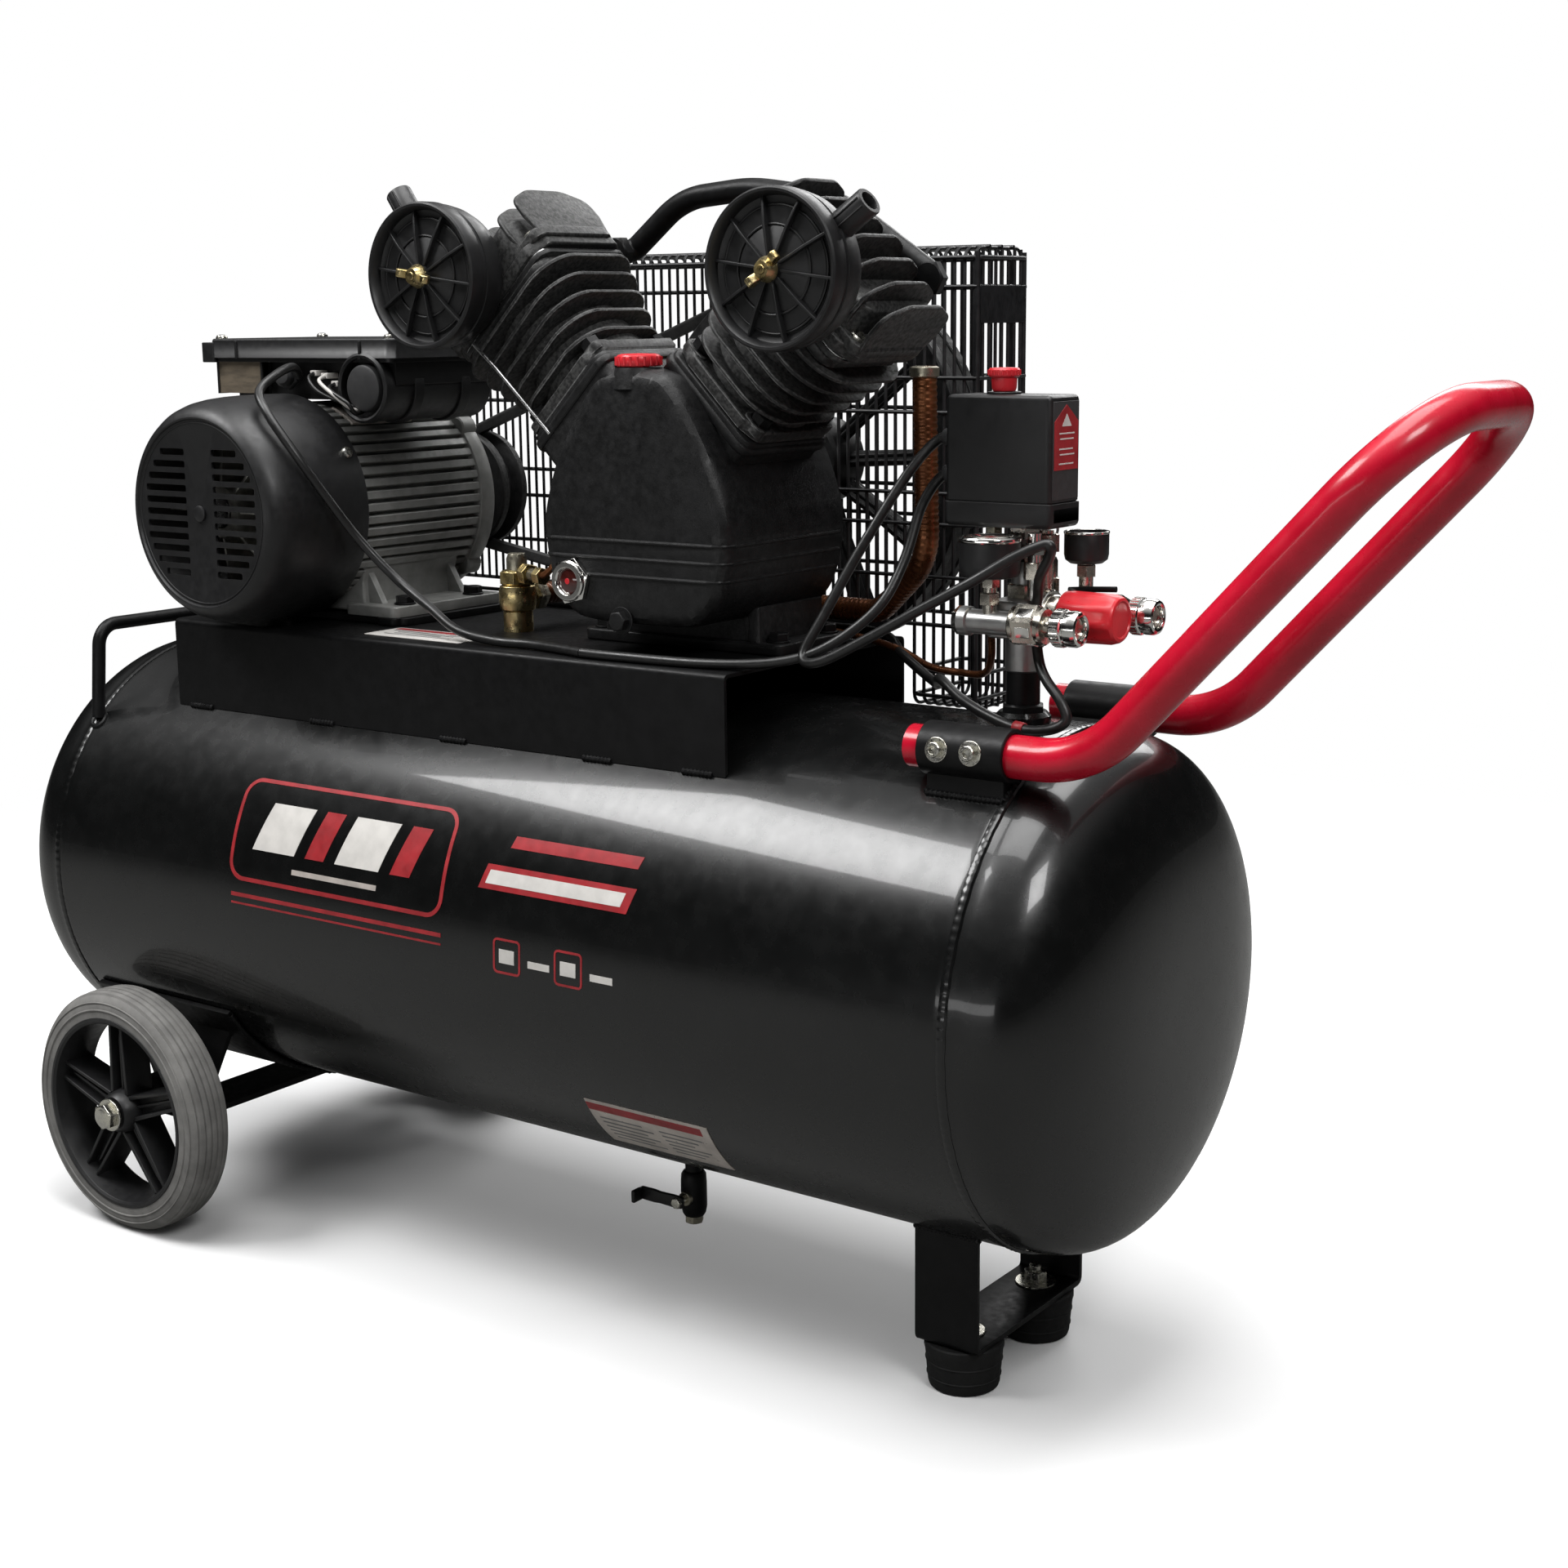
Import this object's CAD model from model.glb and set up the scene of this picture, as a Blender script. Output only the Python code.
# A wheeled, belt-driven twin-cylinder air compressor on a horizontal receiver.
# X runs along the receiver: wheels at -X, push bar and controls at +X.
# -Y is the operator side, +Y the belt side, +Z is up and the floor is z = 0.
# Pieces are drawn in millimetres with the receiver's middle at x = 0.
from functools import partial
from math import acos, atan2, copysign, cos, degrees, hypot, pi, radians, sin, sqrt, tan

import bmesh
import bpy
import numpy as np
from mathutils import Matrix, Vector


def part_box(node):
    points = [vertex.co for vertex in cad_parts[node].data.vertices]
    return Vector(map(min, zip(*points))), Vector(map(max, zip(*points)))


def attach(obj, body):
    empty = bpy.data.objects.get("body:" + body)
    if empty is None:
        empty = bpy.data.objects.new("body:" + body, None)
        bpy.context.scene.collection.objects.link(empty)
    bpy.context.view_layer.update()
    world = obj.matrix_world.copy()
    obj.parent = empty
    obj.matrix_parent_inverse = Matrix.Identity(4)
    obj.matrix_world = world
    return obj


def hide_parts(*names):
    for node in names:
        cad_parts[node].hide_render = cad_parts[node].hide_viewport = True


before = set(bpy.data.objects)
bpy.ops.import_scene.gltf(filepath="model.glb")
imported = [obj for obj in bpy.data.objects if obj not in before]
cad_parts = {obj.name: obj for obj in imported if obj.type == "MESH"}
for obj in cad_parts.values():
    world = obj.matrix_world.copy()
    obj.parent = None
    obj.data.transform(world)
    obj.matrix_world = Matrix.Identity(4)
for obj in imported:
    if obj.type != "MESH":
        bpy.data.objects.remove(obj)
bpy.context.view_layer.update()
TANK_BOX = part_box("receiver_tank")
OFFSET_X = (TANK_BOX[0][0] + TANK_BOX[1][0]) / 2    # metres, carries the drawing into the frame
MM = 0.001

# ------------------------------------------------------------------ driving dimensions, mm
TANK_R, TANK_Z, TANK_HALF = 180.0, 284.0, 430.0     # shell radius, axis height, half length
DISH, DISH_POWER = 81.0, 2.75                       # end dish depth and superellipse power
SEAT_R = 180.7                                      # radius on which brackets sit

WHEEL_X, WHEEL_Y, WHEEL_R = -341.0, 190.0, 101.0
WHEEL_Z = WHEEL_R

STRAP_X, STRAP_HALF_X, STRAP_HALF_Y = 371.0, 25.0, 75.0
STRAP_Z, STRAP_THICK, FOOT_Y = 34.3, 4.0, 50.0

HANDLE_Y, HANDLE_Z, HANDLE_R = 96.0, 460.0, 14.0
CLAMP_X0, CLAMP_X1 = 370.0, 433.0

DECK_X0, DECK_X1, DECK_Y, DECK_Z, DECK_THICK = -345.0, 217.0, 112.4, 496.0, 3.0

MOTOR_X, MOTOR_Z = -254.0, 588.0
CRANK_X, CRANK_Z = 112.0, 622.0
CASE_X = 115.0                                      # middle of the crankcase
BELT_Y = 150.0
BANKS = {"left": (-45, -32.0), "right": (45, -10.0)}    # cylinder lean in degrees, y


# ------------------------------------------------------------------ materials
def add_node(tree, kind, inputs, out=0, **settings):
    """Adds a node; each input takes a value or a socket to link. Gives output `out`."""
    node = tree.nodes.new("ShaderNode" + kind)
    for key, value in settings.items():
        setattr(node, key, value)
    for key, value in inputs.items():
        if isinstance(value, bpy.types.NodeSocket):
            tree.links.new(value, node.inputs[key])
        else:
            node.inputs[key].default_value = value
    return node.outputs[out] if node.outputs else None


def ramp(node, value, low, high, start=0.0, end=1.0, **settings):
    limits = {"From Min": low, "From Max": high, "To Min": start, "To Max": end}
    return node("MapRange", {"Value": value, **limits}, **settings)


def finish(name, color, rough=0.5, rough_vary=0.08, metal=0.0, spec=0.5, vary=0.12, tint=None,
           scale=60, stretch=(1, 1, 1), bump=0.05, bump_scale=900, bump_depth=0.0003, coat=0.0,
           coat_rough=0.08, speck=0.0, speck_color=None, wear=0.0, wear_color=None,
           stain=0.0, stain_scale=9.0):
    """Procedural finish: mottled colour, uneven roughness and fine grain.

    `vary` is the depth of the mottle and `tint` its light colour, `scale` its noise scale.
    Stains, specks, edge wear and a clear coat are optional. Noise scales are per metre.
    """
    material = bpy.data.materials.new(name)
    material.use_nodes = True
    tree = material.node_tree
    tree.nodes.clear()
    node = partial(add_node, tree)
    where = node("Mapping", {0: node("TexCoord", {}, "Object"), "Scale": stretch})

    def noise(size, detail=4.0):
        settings = {"Scale": size, "Detail": detail, "Roughness": 0.55}
        return node("TexNoise", {"Vector": where, **settings}, "Fac")

    def mix(factor, first, second):
        return node("Mix", {0: factor, 6: first, 7: second}, 2, data_type="RGBA")

    def shade_of(factor):
        return (*(c * factor for c in color), 1)

    light = (*tint, 1) if tint else shade_of(1 + vary)
    paint = mix(ramp(node, noise(scale), 0.35, 0.65), shade_of(1 - vary), light)
    if stain:
        patches = ramp(node, noise(stain_scale, 2.0), 0.38, 0.62, 0, stain)
        paint = mix(patches, paint, shade_of(0.6))
    if speck:
        dots = ramp(node, noise(bump_scale * 0.6, 1.0), 0.66, 0.72, 0, speck)
        paint = mix(dots, paint, (*speck_color, 1))
    if wear:
        edges = ramp(node, node("NewGeometry", {}, "Pointiness"), 0.53, 0.62, 0, wear)
        broken = ramp(node, noise(scale * 3), 0.4, 0.6, 0.2, 1)
        worn = node("Math", {0: edges, 1: broken}, operation="MULTIPLY")
        paint = mix(worn, paint, (*wear_color, 1))

    def grain(strength, height):
        inputs = {"Strength": strength, "Distance": bump_depth, "Height": height}
        return node("Bump", inputs)

    inputs = {
        "Base Color": paint,
        "Roughness": ramp(node, noise(scale * 2.3, 3.0), 0.3, 0.7,
                          rough - rough_vary, rough + rough_vary),
        "Metallic": metal,
        "Specular IOR Level": spec,
        "Normal": grain(bump, noise(bump_scale, 3.0)),
    }
    if coat:
        inputs["Coat Weight"] = coat
        inputs["Coat Roughness"] = coat_rough
        inputs["Coat Normal"] = grain(bump * 0.6, noise(bump_scale * 0.45, 2.0))
    node("OutputMaterial", {0: node("BsdfPrincipled", inputs)})
    return material


TANK_BLACK = finish("enamel_black", (0.004, 0.0042, 0.0042), rough=0.26, vary=0.2, scale=30,
                    rough_vary=0.04, bump=0.04, bump_scale=260, coat=0.4, coat_rough=0.05,
                    spec=0.4, stain=0.3, stain_scale=6)
SATIN = finish("powder_black", (0.0045, 0.0045, 0.0048), rough=0.42, vary=0.25, scale=70,
               bump=0.18, bump_scale=1500, bump_depth=0.0002, spec=0.2, speck=0.2,
               speck_color=(0.012, 0.012, 0.012))
CAST = finish("cast_black", (0.007, 0.007, 0.0073), rough=0.46, vary=0.35, scale=90,
              rough_vary=0.1, bump=0.35, bump_scale=700, bump_depth=0.0004, spec=0.32,
              wear=0.22, wear_color=(0.05, 0.05, 0.05))
FIN = finish("cast_fin", (0.008, 0.008, 0.0083), vary=0.35, scale=120, rough_vary=0.12,
             bump=0.4, bump_scale=800, bump_depth=0.0004, wear=0.45,
             wear_color=(0.11, 0.11, 0.107), spec=0.3)
PLASTIC = finish("plastic_black", (0.01, 0.01, 0.0105), rough=0.42, vary=0.15, scale=80,
                 rough_vary=0.06, bump=0.12, bump_scale=1800, bump_depth=0.00015, spec=0.45)
CHARCOAL = finish("plastic_charcoal", (0.034, 0.034, 0.035), scale=90, rough_vary=0.06,
                  bump=0.25, bump_scale=2200, bump_depth=0.00015, spec=0.45)
TAN_BOARD = finish("board_tan", (0.12, 0.095, 0.065), rough=0.7, vary=0.25, bump=0.3,
                   stretch=(1, 1, 4))
MOTOR_GREY = finish("motor_grey", (0.21, 0.212, 0.203), rough=0.42, metal=0.25, vary=0.14,
                    scale=70, rough_vary=0.1, bump=0.22, wear=0.3,
                    wear_color=(0.42, 0.42, 0.41))
BARE_ALU = finish("bare_aluminium", (0.5, 0.49, 0.45), rough=0.42, metal=0.8, vary=0.2,
                  scale=80, bump=0.4)
SATIN_ALU = finish("satin_aluminium", (0.34, 0.34, 0.335), rough=0.36, metal=0.85,
                   scale=70, bump=0.18, bump_scale=1100, bump_depth=0.0002)
NICKEL = finish("nickel_satin", (0.52, 0.49, 0.43), rough=0.24, metal=1.0, vary=0.14,
                scale=90, bump=0.1, bump_depth=0.0001)
ZINC = finish("zinc_plate", (0.62, 0.61, 0.58), rough=0.26, metal=1.0, scale=120,
              vary=0.14, rough_vary=0.1, bump=0.15, bump_scale=1200, bump_depth=0.0001,
              tint=(0.72, 0.7, 0.6))
STEEL = finish("turned_steel", (0.5, 0.5, 0.5), rough=0.3, metal=1.0, scale=150,
               rough_vary=0.12, bump=0.2, bump_scale=1200, stretch=(1, 6, 1))
CHROME = finish("nickel_plate", (0.74, 0.73, 0.7), rough=0.14, metal=1.0, vary=0.08,
                scale=90, rough_vary=0.06)
BRASS = finish("brass_plain", (0.62, 0.47, 0.2), rough=0.3, metal=1.0, vary=0.2, scale=90,
               rough_vary=0.12, bump=0.15, tint=(0.72, 0.6, 0.33), stain=0.3, stain_scale=60)
GREY_BRASS = finish("brass_fitting_grey", (0.45, 0.42, 0.33), rough=0.32, metal=0.9,
                    vary=0.18, scale=90, rough_vary=0.1, bump=0.15)
COPPER = finish("copper_brown", (0.17, 0.055, 0.02), rough=0.3, metal=0.7, vary=0.35,
                scale=45, rough_vary=0.1, bump=0.12, bump_scale=600,
                tint=(0.26, 0.095, 0.036), stain=0.5, stain_scale=25)
RED_ENAMEL = finish("enamel_red", (0.5, 0.004, 0.02), rough=0.27, scale=28, rough_vary=0.05,
                    bump_scale=350, coat=0.3, coat_rough=0.1, spec=0.35,
                    tint=(0.56, 0.006, 0.028))
RED_PLASTIC = finish("plastic_red", (0.62, 0.02, 0.03), rough=0.33, vary=0.1,
                     rough_vary=0.06, bump=0.08, bump_scale=1200)
YELLOW = finish("plastic_yellow", (0.72, 0.42, 0.03), rough=0.38, vary=0.1, bump=0.08,
                bump_scale=1200)
RUBBER = finish("rubber_black", (0.008, 0.008, 0.008), rough=0.72, vary=0.25,
                rough_vary=0.1, bump=0.3, bump_scale=1400, bump_depth=0.0002, spec=0.35)
TYRE = finish("tyre_grey", (0.19, 0.186, 0.178), rough=0.68, vary=0.18, rough_vary=0.1,
              bump=0.35, bump_scale=1300, spec=0.35, stain=0.35, stain_scale=22)
CABLE = finish("cable_sheath", (0.008, 0.008, 0.008), rough=0.38, vary=0.15, scale=80,
               bump=0.1, bump_scale=1500)
BELT = finish("belt_rubber", (0.02, 0.02, 0.02), rough=0.7, vary=0.3, scale=120, bump=0.5,
              bump_scale=1600)
WIRE = finish("wire_black", (0.008, 0.008, 0.009), rough=0.42, vary=0.3, scale=90,
              bump=0.15, bump_scale=1500)
INNER_STEEL = finish("inner_steel", (0.35, 0.35, 0.35), rough=0.4, metal=1.0, vary=0.2,
                     bump=0.15, bump_scale=700)
LAMINATION = finish("lamination_stack", (0.25, 0.25, 0.26), metal=0.9, vary=0.3, scale=400,
                    bump=0.4, bump_scale=2000, stretch=(0.1, 6, 0.1))
DIAL = finish("dial_white", (0.75, 0.75, 0.72), rough=0.4, vary=0.04, scale=50, bump=0.03,
              bump_scale=800)
RED_GLASS = finish("sight_red", (0.06, 0.012, 0.01), rough=0.08, vary=0.5, rough_vary=0.03,
                   bump=0.03, bump_scale=200, coat=0.8)
MARK_RED = finish("label_red", (0.32, 0.02, 0.025), rough=0.42, vary=0.18, scale=70)
MARK_WHITE = finish("label_white", (0.62, 0.6, 0.57), rough=0.45, vary=0.08)
MARK_GREY = finish("label_grey", (0.19, 0.19, 0.19), rough=0.4, vary=0.1)
MARK_SILVER = finish("label_silver", (0.66, 0.6, 0.55), rough=0.35, metal=0.4, vary=0.15)
SHADOW = finish("deep_shadow", (0.004, 0.004, 0.004), rough=0.9, vary=0.3, scale=50,
                bump=0.1, bump_scale=800)
FLOOR = finish("floor_pale", (0.9, 0.9, 0.9), rough=0.7, vary=0.01, scale=6,
               rough_vary=0.03, bump=0.01, bump_scale=300)


def fade_floor(material, near, far):
    """The camera sees the floor melt to white from near to far; other rays see dull grey."""
    tree = material.node_tree
    node = partial(add_node, tree)
    output = next(n for n in tree.nodes if n.type == "OUTPUT_MATERIAL")
    surface = output.inputs[0].links[0].from_socket
    place_ = node("NewGeometry", {}, "Position")
    distance = node("VectorMath", {0: place_}, "Value", operation="LENGTH")
    fade = ramp(node, distance, near, far, interpolation_type="SMOOTHSTEP")
    is_camera = node("LightPath", {}, "Is Camera Ray")
    amount = node("Math", {0: fade, 1: is_camera}, operation="MULTIPLY")
    white = node("Emission", {0: (1, 1, 1, 1)})
    seen = node("MixShader", {0: amount, 1: surface, 2: white})
    dull = node("BsdfDiffuse", {0: (0.2, 0.2, 0.195, 1)})
    tree.links.new(node("MixShader", {0: is_camera, 1: dull, 2: seen}), output.inputs[0])


fade_floor(FLOOR, near=1.0, far=2.1)


# ------------------------------------------------------------------ placing and outlines
def spin(axis, angle):
    return Matrix.Rotation(radians(angle), 4, axis)


def aim(axis):
    """Turn taking local +Z to "x", "-x", "y", "-y", "z", "-z" or a vector."""
    if isinstance(axis, str):
        sign = -1 if axis[0] == "-" else 1
        axis = {"x": (sign, 0, 0), "y": (0, sign, 0), "z": (0, 0, sign)}[axis[-1]]
    if Vector(axis).normalized() == Vector((0, 0, -1)):
        return spin("X", 180)
    return Vector((0, 0, 1)).rotation_difference(Vector(axis)).to_matrix().to_4x4()


def place(x, y, z, axis="z"):
    """Local frame at a point, its +Z along the axis."""
    return Matrix.Translation((x, y, z)) @ aim(axis)


def arc(x, y, radius, start, end, steps):
    turns = [radians(start + (end - start) * i / steps) for i in range(steps + 1)]
    return [(x + radius * cos(a), y + radius * sin(a)) for a in turns]


def round_rect(x, y, half_x, half_y, radius, steps=5):
    points = []
    for i, (sx, sy) in enumerate(((1, 1), (-1, 1), (-1, -1), (1, -1))):
        corner = (x + sx * half_x - sx * radius, y + sy * half_y - sy * radius)
        points += arc(*corner, radius, 90 * i, 90 * i + 90, steps)
    return points


def round_poly(points, radii, steps=4):
    """Closed outline with rounded corners; radii is one number or one per corner."""
    if not isinstance(radii, list):
        radii = [radii] * len(points)
    out = []
    for i, radius in enumerate(radii):
        before, corner = Vector(points[i - 1]), Vector(points[i])
        after = Vector(points[(i + 1) % len(points)])
        back, ahead = (before - corner).normalized(), (after - corner).normalized()
        angle = back.angle(ahead)
        if radius <= 0 or angle > pi - 0.02:
            out.append(tuple(corner))
            continue
        reach = min(radius / tan(angle / 2),
                    0.48 * min((before - corner).length, (after - corner).length))
        start, end = corner + back * reach, corner + ahead * reach
        for j in range(steps + 1):
            t = j / steps
            out.append(tuple(start * (1 - t) ** 2 + corner * 2 * t * (1 - t) + end * t * t))
    return out


def fillet(points, radii, steps=8):
    """3-D polyline with arcs at its corners."""
    points = [Vector(q) for q in points]
    if not isinstance(radii, list):
        radii = [radii] * (len(points) - 2)
    out = [points[0]]
    for before, corner, after, radius in zip(points, points[1:], points[2:], radii):
        back, ahead = before - corner, after - corner
        limit = (0.49 * back.length, 0.49 * ahead.length)
        back.normalize()
        ahead.normalize()
        angle = back.angle(ahead)
        reach = min(radius / tan(angle / 2), *limit)
        true_radius = reach * tan(angle / 2)
        centre = corner + (back + ahead).normalized() * (true_radius / sin(angle / 2))
        start = corner + back * reach - centre
        end = corner + ahead * reach - centre
        sweep = start.angle(end)
        axis = start.cross(end).normalized()
        for j in range(steps + 1):
            out.append(centre + Matrix.Rotation(sweep * j / steps, 3, axis) @ start)
    out.append(points[-1])
    return out


def catmull(a, b, c, d, t):
    return 0.5 * ((2 * b) + (c - a) * t + (2 * a - 5 * b + 4 * c - d) * t * t
                  + (3 * b - a - 3 * c + d) * t ** 3)


def smooth_path(points, steps=10):
    """Catmull-Rom curve through 3-D points."""
    p = [Vector(q) for q in points]
    p = [p[0] * 2 - p[1]] + p + [p[-1] * 2 - p[-2]]
    out = [catmull(*p[i - 1:i + 3], j / steps)
           for i in range(1, len(p) - 2) for j in range(steps)]
    return out + [p[-2]]


def smooth_loop(points, steps):
    """Closed Catmull-Rom curve through 2-D points."""
    out = []
    for i in range(len(points)):
        four = [Vector(points[(i + j) % len(points)]) for j in (-1, 0, 1, 2)]
        out += [tuple(catmull(*four, j / steps)) for j in range(steps)]
    return out


def mirrored(half, x):
    """Closed outline from (half width, z) stations about a vertical line at x."""
    return [(x + w, z) for w, z in half] + [(x - w, z) for w, z in reversed(half[1:-1])]


def inset(outline, depth):
    """Counter-clockwise outline moved inwards."""
    if not depth:
        return list(outline)
    out = []
    for i, point in enumerate(outline):
        here = Vector(point[:2])
        first = here - Vector(outline[i - 1][:2])
        second = Vector(outline[(i + 1) % len(outline)][:2]) - here
        if first.length < 1e-9:
            first = second.copy()
        if second.length < 1e-9:
            second = first.copy()
        first.normalize()
        second.normalize()
        side = Vector((-first.y, first.x))
        inward = Vector((-first.y - second.y, first.x + second.x))
        if inward.length < 1e-6:
            inward = side.copy()
        inward.normalize()
        out.append(tuple(here + inward * (depth / max(0.35, inward.dot(side)))))
    return out


PLANES = {
    "xy": lambda u, v, h: (u, v, h),
    "xz": lambda u, v, h: (u, h, v),
    "yz": lambda u, v, h: (h, u, v),
}


def shade(ob, angle):
    ob.data.shade_smooth()
    ob.data.set_sharp_from_angle(angle=radians(angle))


class Piece:
    """Collects closed shells in millimetres into one mesh object.

    `at` is a frame from place(); `mat` is one of the piece's materials, the first if left out.
    """

    def __init__(self, name, slot, *mats, body="chassis"):
        self.name, self.slot, self.mats, self.body = name, slot, mats, body
        self.verts, self.faces, self.face_mats = [], [], []

    def add(self, verts, faces, mat=None, at=None):
        start = len(self.verts)
        self.verts += [tuple(v) if at is None else tuple(at @ Vector(v)) for v in verts]
        self.faces += [[start + i for i in face] for face in faces]
        self.face_mats += [self.mats.index(mat) if mat else 0] * len(faces)

    def loft(self, rings, mat=None, at=None, closed=False):
        """Skin over rings of equal count, capped at both ends unless closed."""
        count, n = len(rings), len(rings[0])
        faces = []
        for a in range(count if closed else count - 1):
            b = (a + 1) % count
            for i in range(n):
                j = (i + 1) % n
                faces.append((a * n + i, a * n + j, b * n + j, b * n + i))
        if not closed:
            faces.append(tuple(range(n))[::-1])
            faces.append(tuple((count - 1) * n + i for i in range(n)))
        self.add([v for ring in rings for v in ring], faces, mat, at)

    def box(self, x0, x1, y0, y1, z0, z1, mat=None):
        verts = [(x, y, z) for x in (x0, x1) for y in (y0, y1) for z in (z0, z1)]
        self.add(verts, [(0, 1, 3, 2), (4, 6, 7, 5), (0, 4, 5, 1), (2, 3, 7, 6), (0, 2, 6, 4),
                         (1, 5, 7, 3)], mat)

    def lathe(self, profile, at, segs=48, mat=None, closed=False, warp=None):
        """Turns (radius, height) points; closed joins the last to the first, for a ring."""
        verts, faces, rings = [], [], []
        for radius, height in profile:
            start = len(verts)
            if radius < 1e-6:
                verts.append((0, 0, height))
            else:
                for i in range(segs):
                    a = 2 * pi * i / segs
                    r, h = warp(radius, height, a) if warp else (radius, height)
                    verts.append((r * cos(a), r * sin(a), h))
            rings.append(list(range(start, len(verts))))
        pairs = list(zip(rings[:-1], rings[1:]))
        if closed:
            pairs.append((rings[-1], rings[0]))
        for a, b in pairs:
            for i in range(segs):
                j = (i + 1) % segs
                if len(a) == 1:
                    faces.append((a[0], b[j], b[i]))
                elif len(b) == 1:
                    faces.append((a[i], a[j], b[0]))
                else:
                    faces.append((a[i], a[j], b[j], b[i]))
        if not closed:
            if len(rings[0]) > 1:
                faces.append(rings[0][::-1])
            if len(rings[-1]) > 1:
                faces.append(rings[-1])
        self.add(verts, faces, mat, at)

    def rod(self, r, h0, h1, at, segs=32, mat=None, edge=0.0):
        c = min(edge, r * 0.9, abs(h1 - h0) / 2.01)
        profile = [(r - c, h0), (r, h0 + c), (r, h1 - c), (r - c, h1)] if c else [(r, h0), (r, h1)]
        self.lathe(profile, at, segs, mat)

    def ring(self, outer, inner, h0, h1, at, segs=48, mat=None, edge=0.0):
        c = edge
        profile = [(inner, h0), (outer, h0), (outer, h1), (inner, h1)]
        if c:
            profile = [(inner + c, h0), (outer - c, h0), (outer, h0 + c), (outer, h1 - c),
                       (outer - c, h1), (inner + c, h1), (inner, h1 - c), (inner, h0 + c)]
        self.lathe(profile, at, segs, mat, closed=True)

    def torus(self, radius, thick, at, segs=48, around=10, mat=None, warp=None):
        turns = [2 * pi * i / around for i in range(around)]
        profile = [(radius + thick * cos(a), thick * sin(a)) for a in turns]
        self.lathe(profile, at, segs, mat, closed=True, warp=warp)

    def prism(self, outline, h0, h1, plane="xy", mat=None, at=None, edge=0.0, base_edge=None):
        """Outline pushed along its normal; edge rounds the h1 rim, base_edge the h0 rim."""
        n = len(outline)
        area = sum(outline[i][0] * outline[(i + 1) % n][1]
                   - outline[(i + 1) % n][0] * outline[i][1] for i in range(n))
        if area < 0:
            outline = outline[::-1]
        base_edge = edge if base_edge is None else base_edge
        turns = [(pi / 2) * i / 3 for i in range(4)]
        rows = [(outline, h0)]
        if base_edge:
            rows = [(inset(outline, base_edge * (1 - sin(a))), h0 + base_edge * (1 - cos(a)))
                    for a in turns]
        if edge:
            rows += [(inset(outline, edge * (1 - cos(a))), h1 - edge * (1 - sin(a)))
                     for a in turns]
        else:
            rows.append((outline, h1))
        put = PLANES[plane]
        self.loft([[put(u, v, h) for u, v in row] for row, h in rows], mat, at)

    def tube(self, path, radius, segs=14, mat=None, swell=None):
        """Round bar along points; swell(distance, radius) changes the radius on the way."""
        path = [Vector(q) for q in path]
        path = [q for i, q in enumerate(path) if i == 0 or (q - path[i - 1]).length > 1e-4]
        last = len(path) - 1
        along = [(path[min(last, i + 1)] - path[max(0, i - 1)]).normalized()
                 for i in range(last + 1)]
        side = along[0].orthogonal().normalized()
        rings, distance = [], 0.0
        for i, q in enumerate(path):
            if i:
                distance += (q - path[i - 1]).length
                axis = along[i - 1].cross(along[i])
                if axis.length > 1e-8:
                    turn = along[i - 1].angle(along[i])
                    side = Matrix.Rotation(turn, 3, axis.normalized()) @ side
            side = (side - along[i] * side.dot(along[i])).normalized()
            other = along[i].cross(side)
            r = swell(distance, radius) if swell else radius
            turns = [2 * pi * s / segs for s in range(segs)]
            rings.append([q + side * (r * cos(a)) + other * (r * sin(a)) for a in turns])
        self.loft(rings, mat)

    def weld(self, path, radius, depth=0.2, rate=1.9):
        """Rippled weld bead."""
        self.tube(path, radius, 8, swell=lambda d, r: r * (1 + depth * sin(d * rate)))

    def hexagon(self, across, h0, h1, at, mat=None, turn=0.0, both=False):
        """Hexagon across flats, its corners turned off at h1, or at both ends."""
        flat = across / 2
        corner = min(across / sqrt(3) - flat, (h1 - h0) * 0.3) * 0.6
        rows = [(True, h0), (False, h0 + corner)] if both else [(False, h0)]
        rows += [(False, h1 - corner), (True, h1)]
        rings = []
        for is_round, h in rows:
            ring = []
            for i in range(24):
                a = 2 * pi * i / 24
                r = flat * 0.94 if is_round else flat / cos(radians(degrees(a) % 60 - 30))
                ring.append((r * cos(a), r * sin(a), h))
            rings.append(ring)
        self.loft(rings, mat, at @ spin("Z", turn))

    def bolt(self, at, size, mat=None, turn=0.0, stud=0.0):
        """Hexagon head on a washer; with a stud it is a nut and the thread end shows."""
        seat = size * 0.2
        self.ring(size * 1.08, size * 0.5, 0, seat, at, 28, mat, edge=size * 0.05)
        self.hexagon(size * 1.65, seat, seat + size * (0.85 if stud else 0.68), at, mat, turn)
        if stud:
            end = seat + size * 0.85 + stud
            profile = [(size * 0.5, seat), (size * 0.5, end - size * 0.12), (size * 0.36, end)]
            self.lathe(profile, at, 18, mat)

    def cap_screw(self, at, size, mat, height, washer=False):
        """Socket-head cap screw."""
        radius, seat = size * 0.78, 0
        if washer:
            seat = size * 0.2
            self.ring(size * 1.1, size * 0.5, 0, seat, at, 28, mat, edge=size * 0.05)
        top = seat + height
        self.lathe([(radius, seat), (radius, top - size * 0.12), (radius - size * 0.1, top),
                    (size * 0.42, top), (size * 0.40, top - size * 0.5),
                    (0, top - size * 0.55)], at, 24, mat)

    def pan_screw(self, at, size, mat):
        r = size * 0.95
        self.lathe([(r, 0), (r, size * 0.15), (r * 0.8, size * 0.5), (r * 0.4, size * 0.62),
                    (0, size * 0.64)], at, 20, mat)

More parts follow.
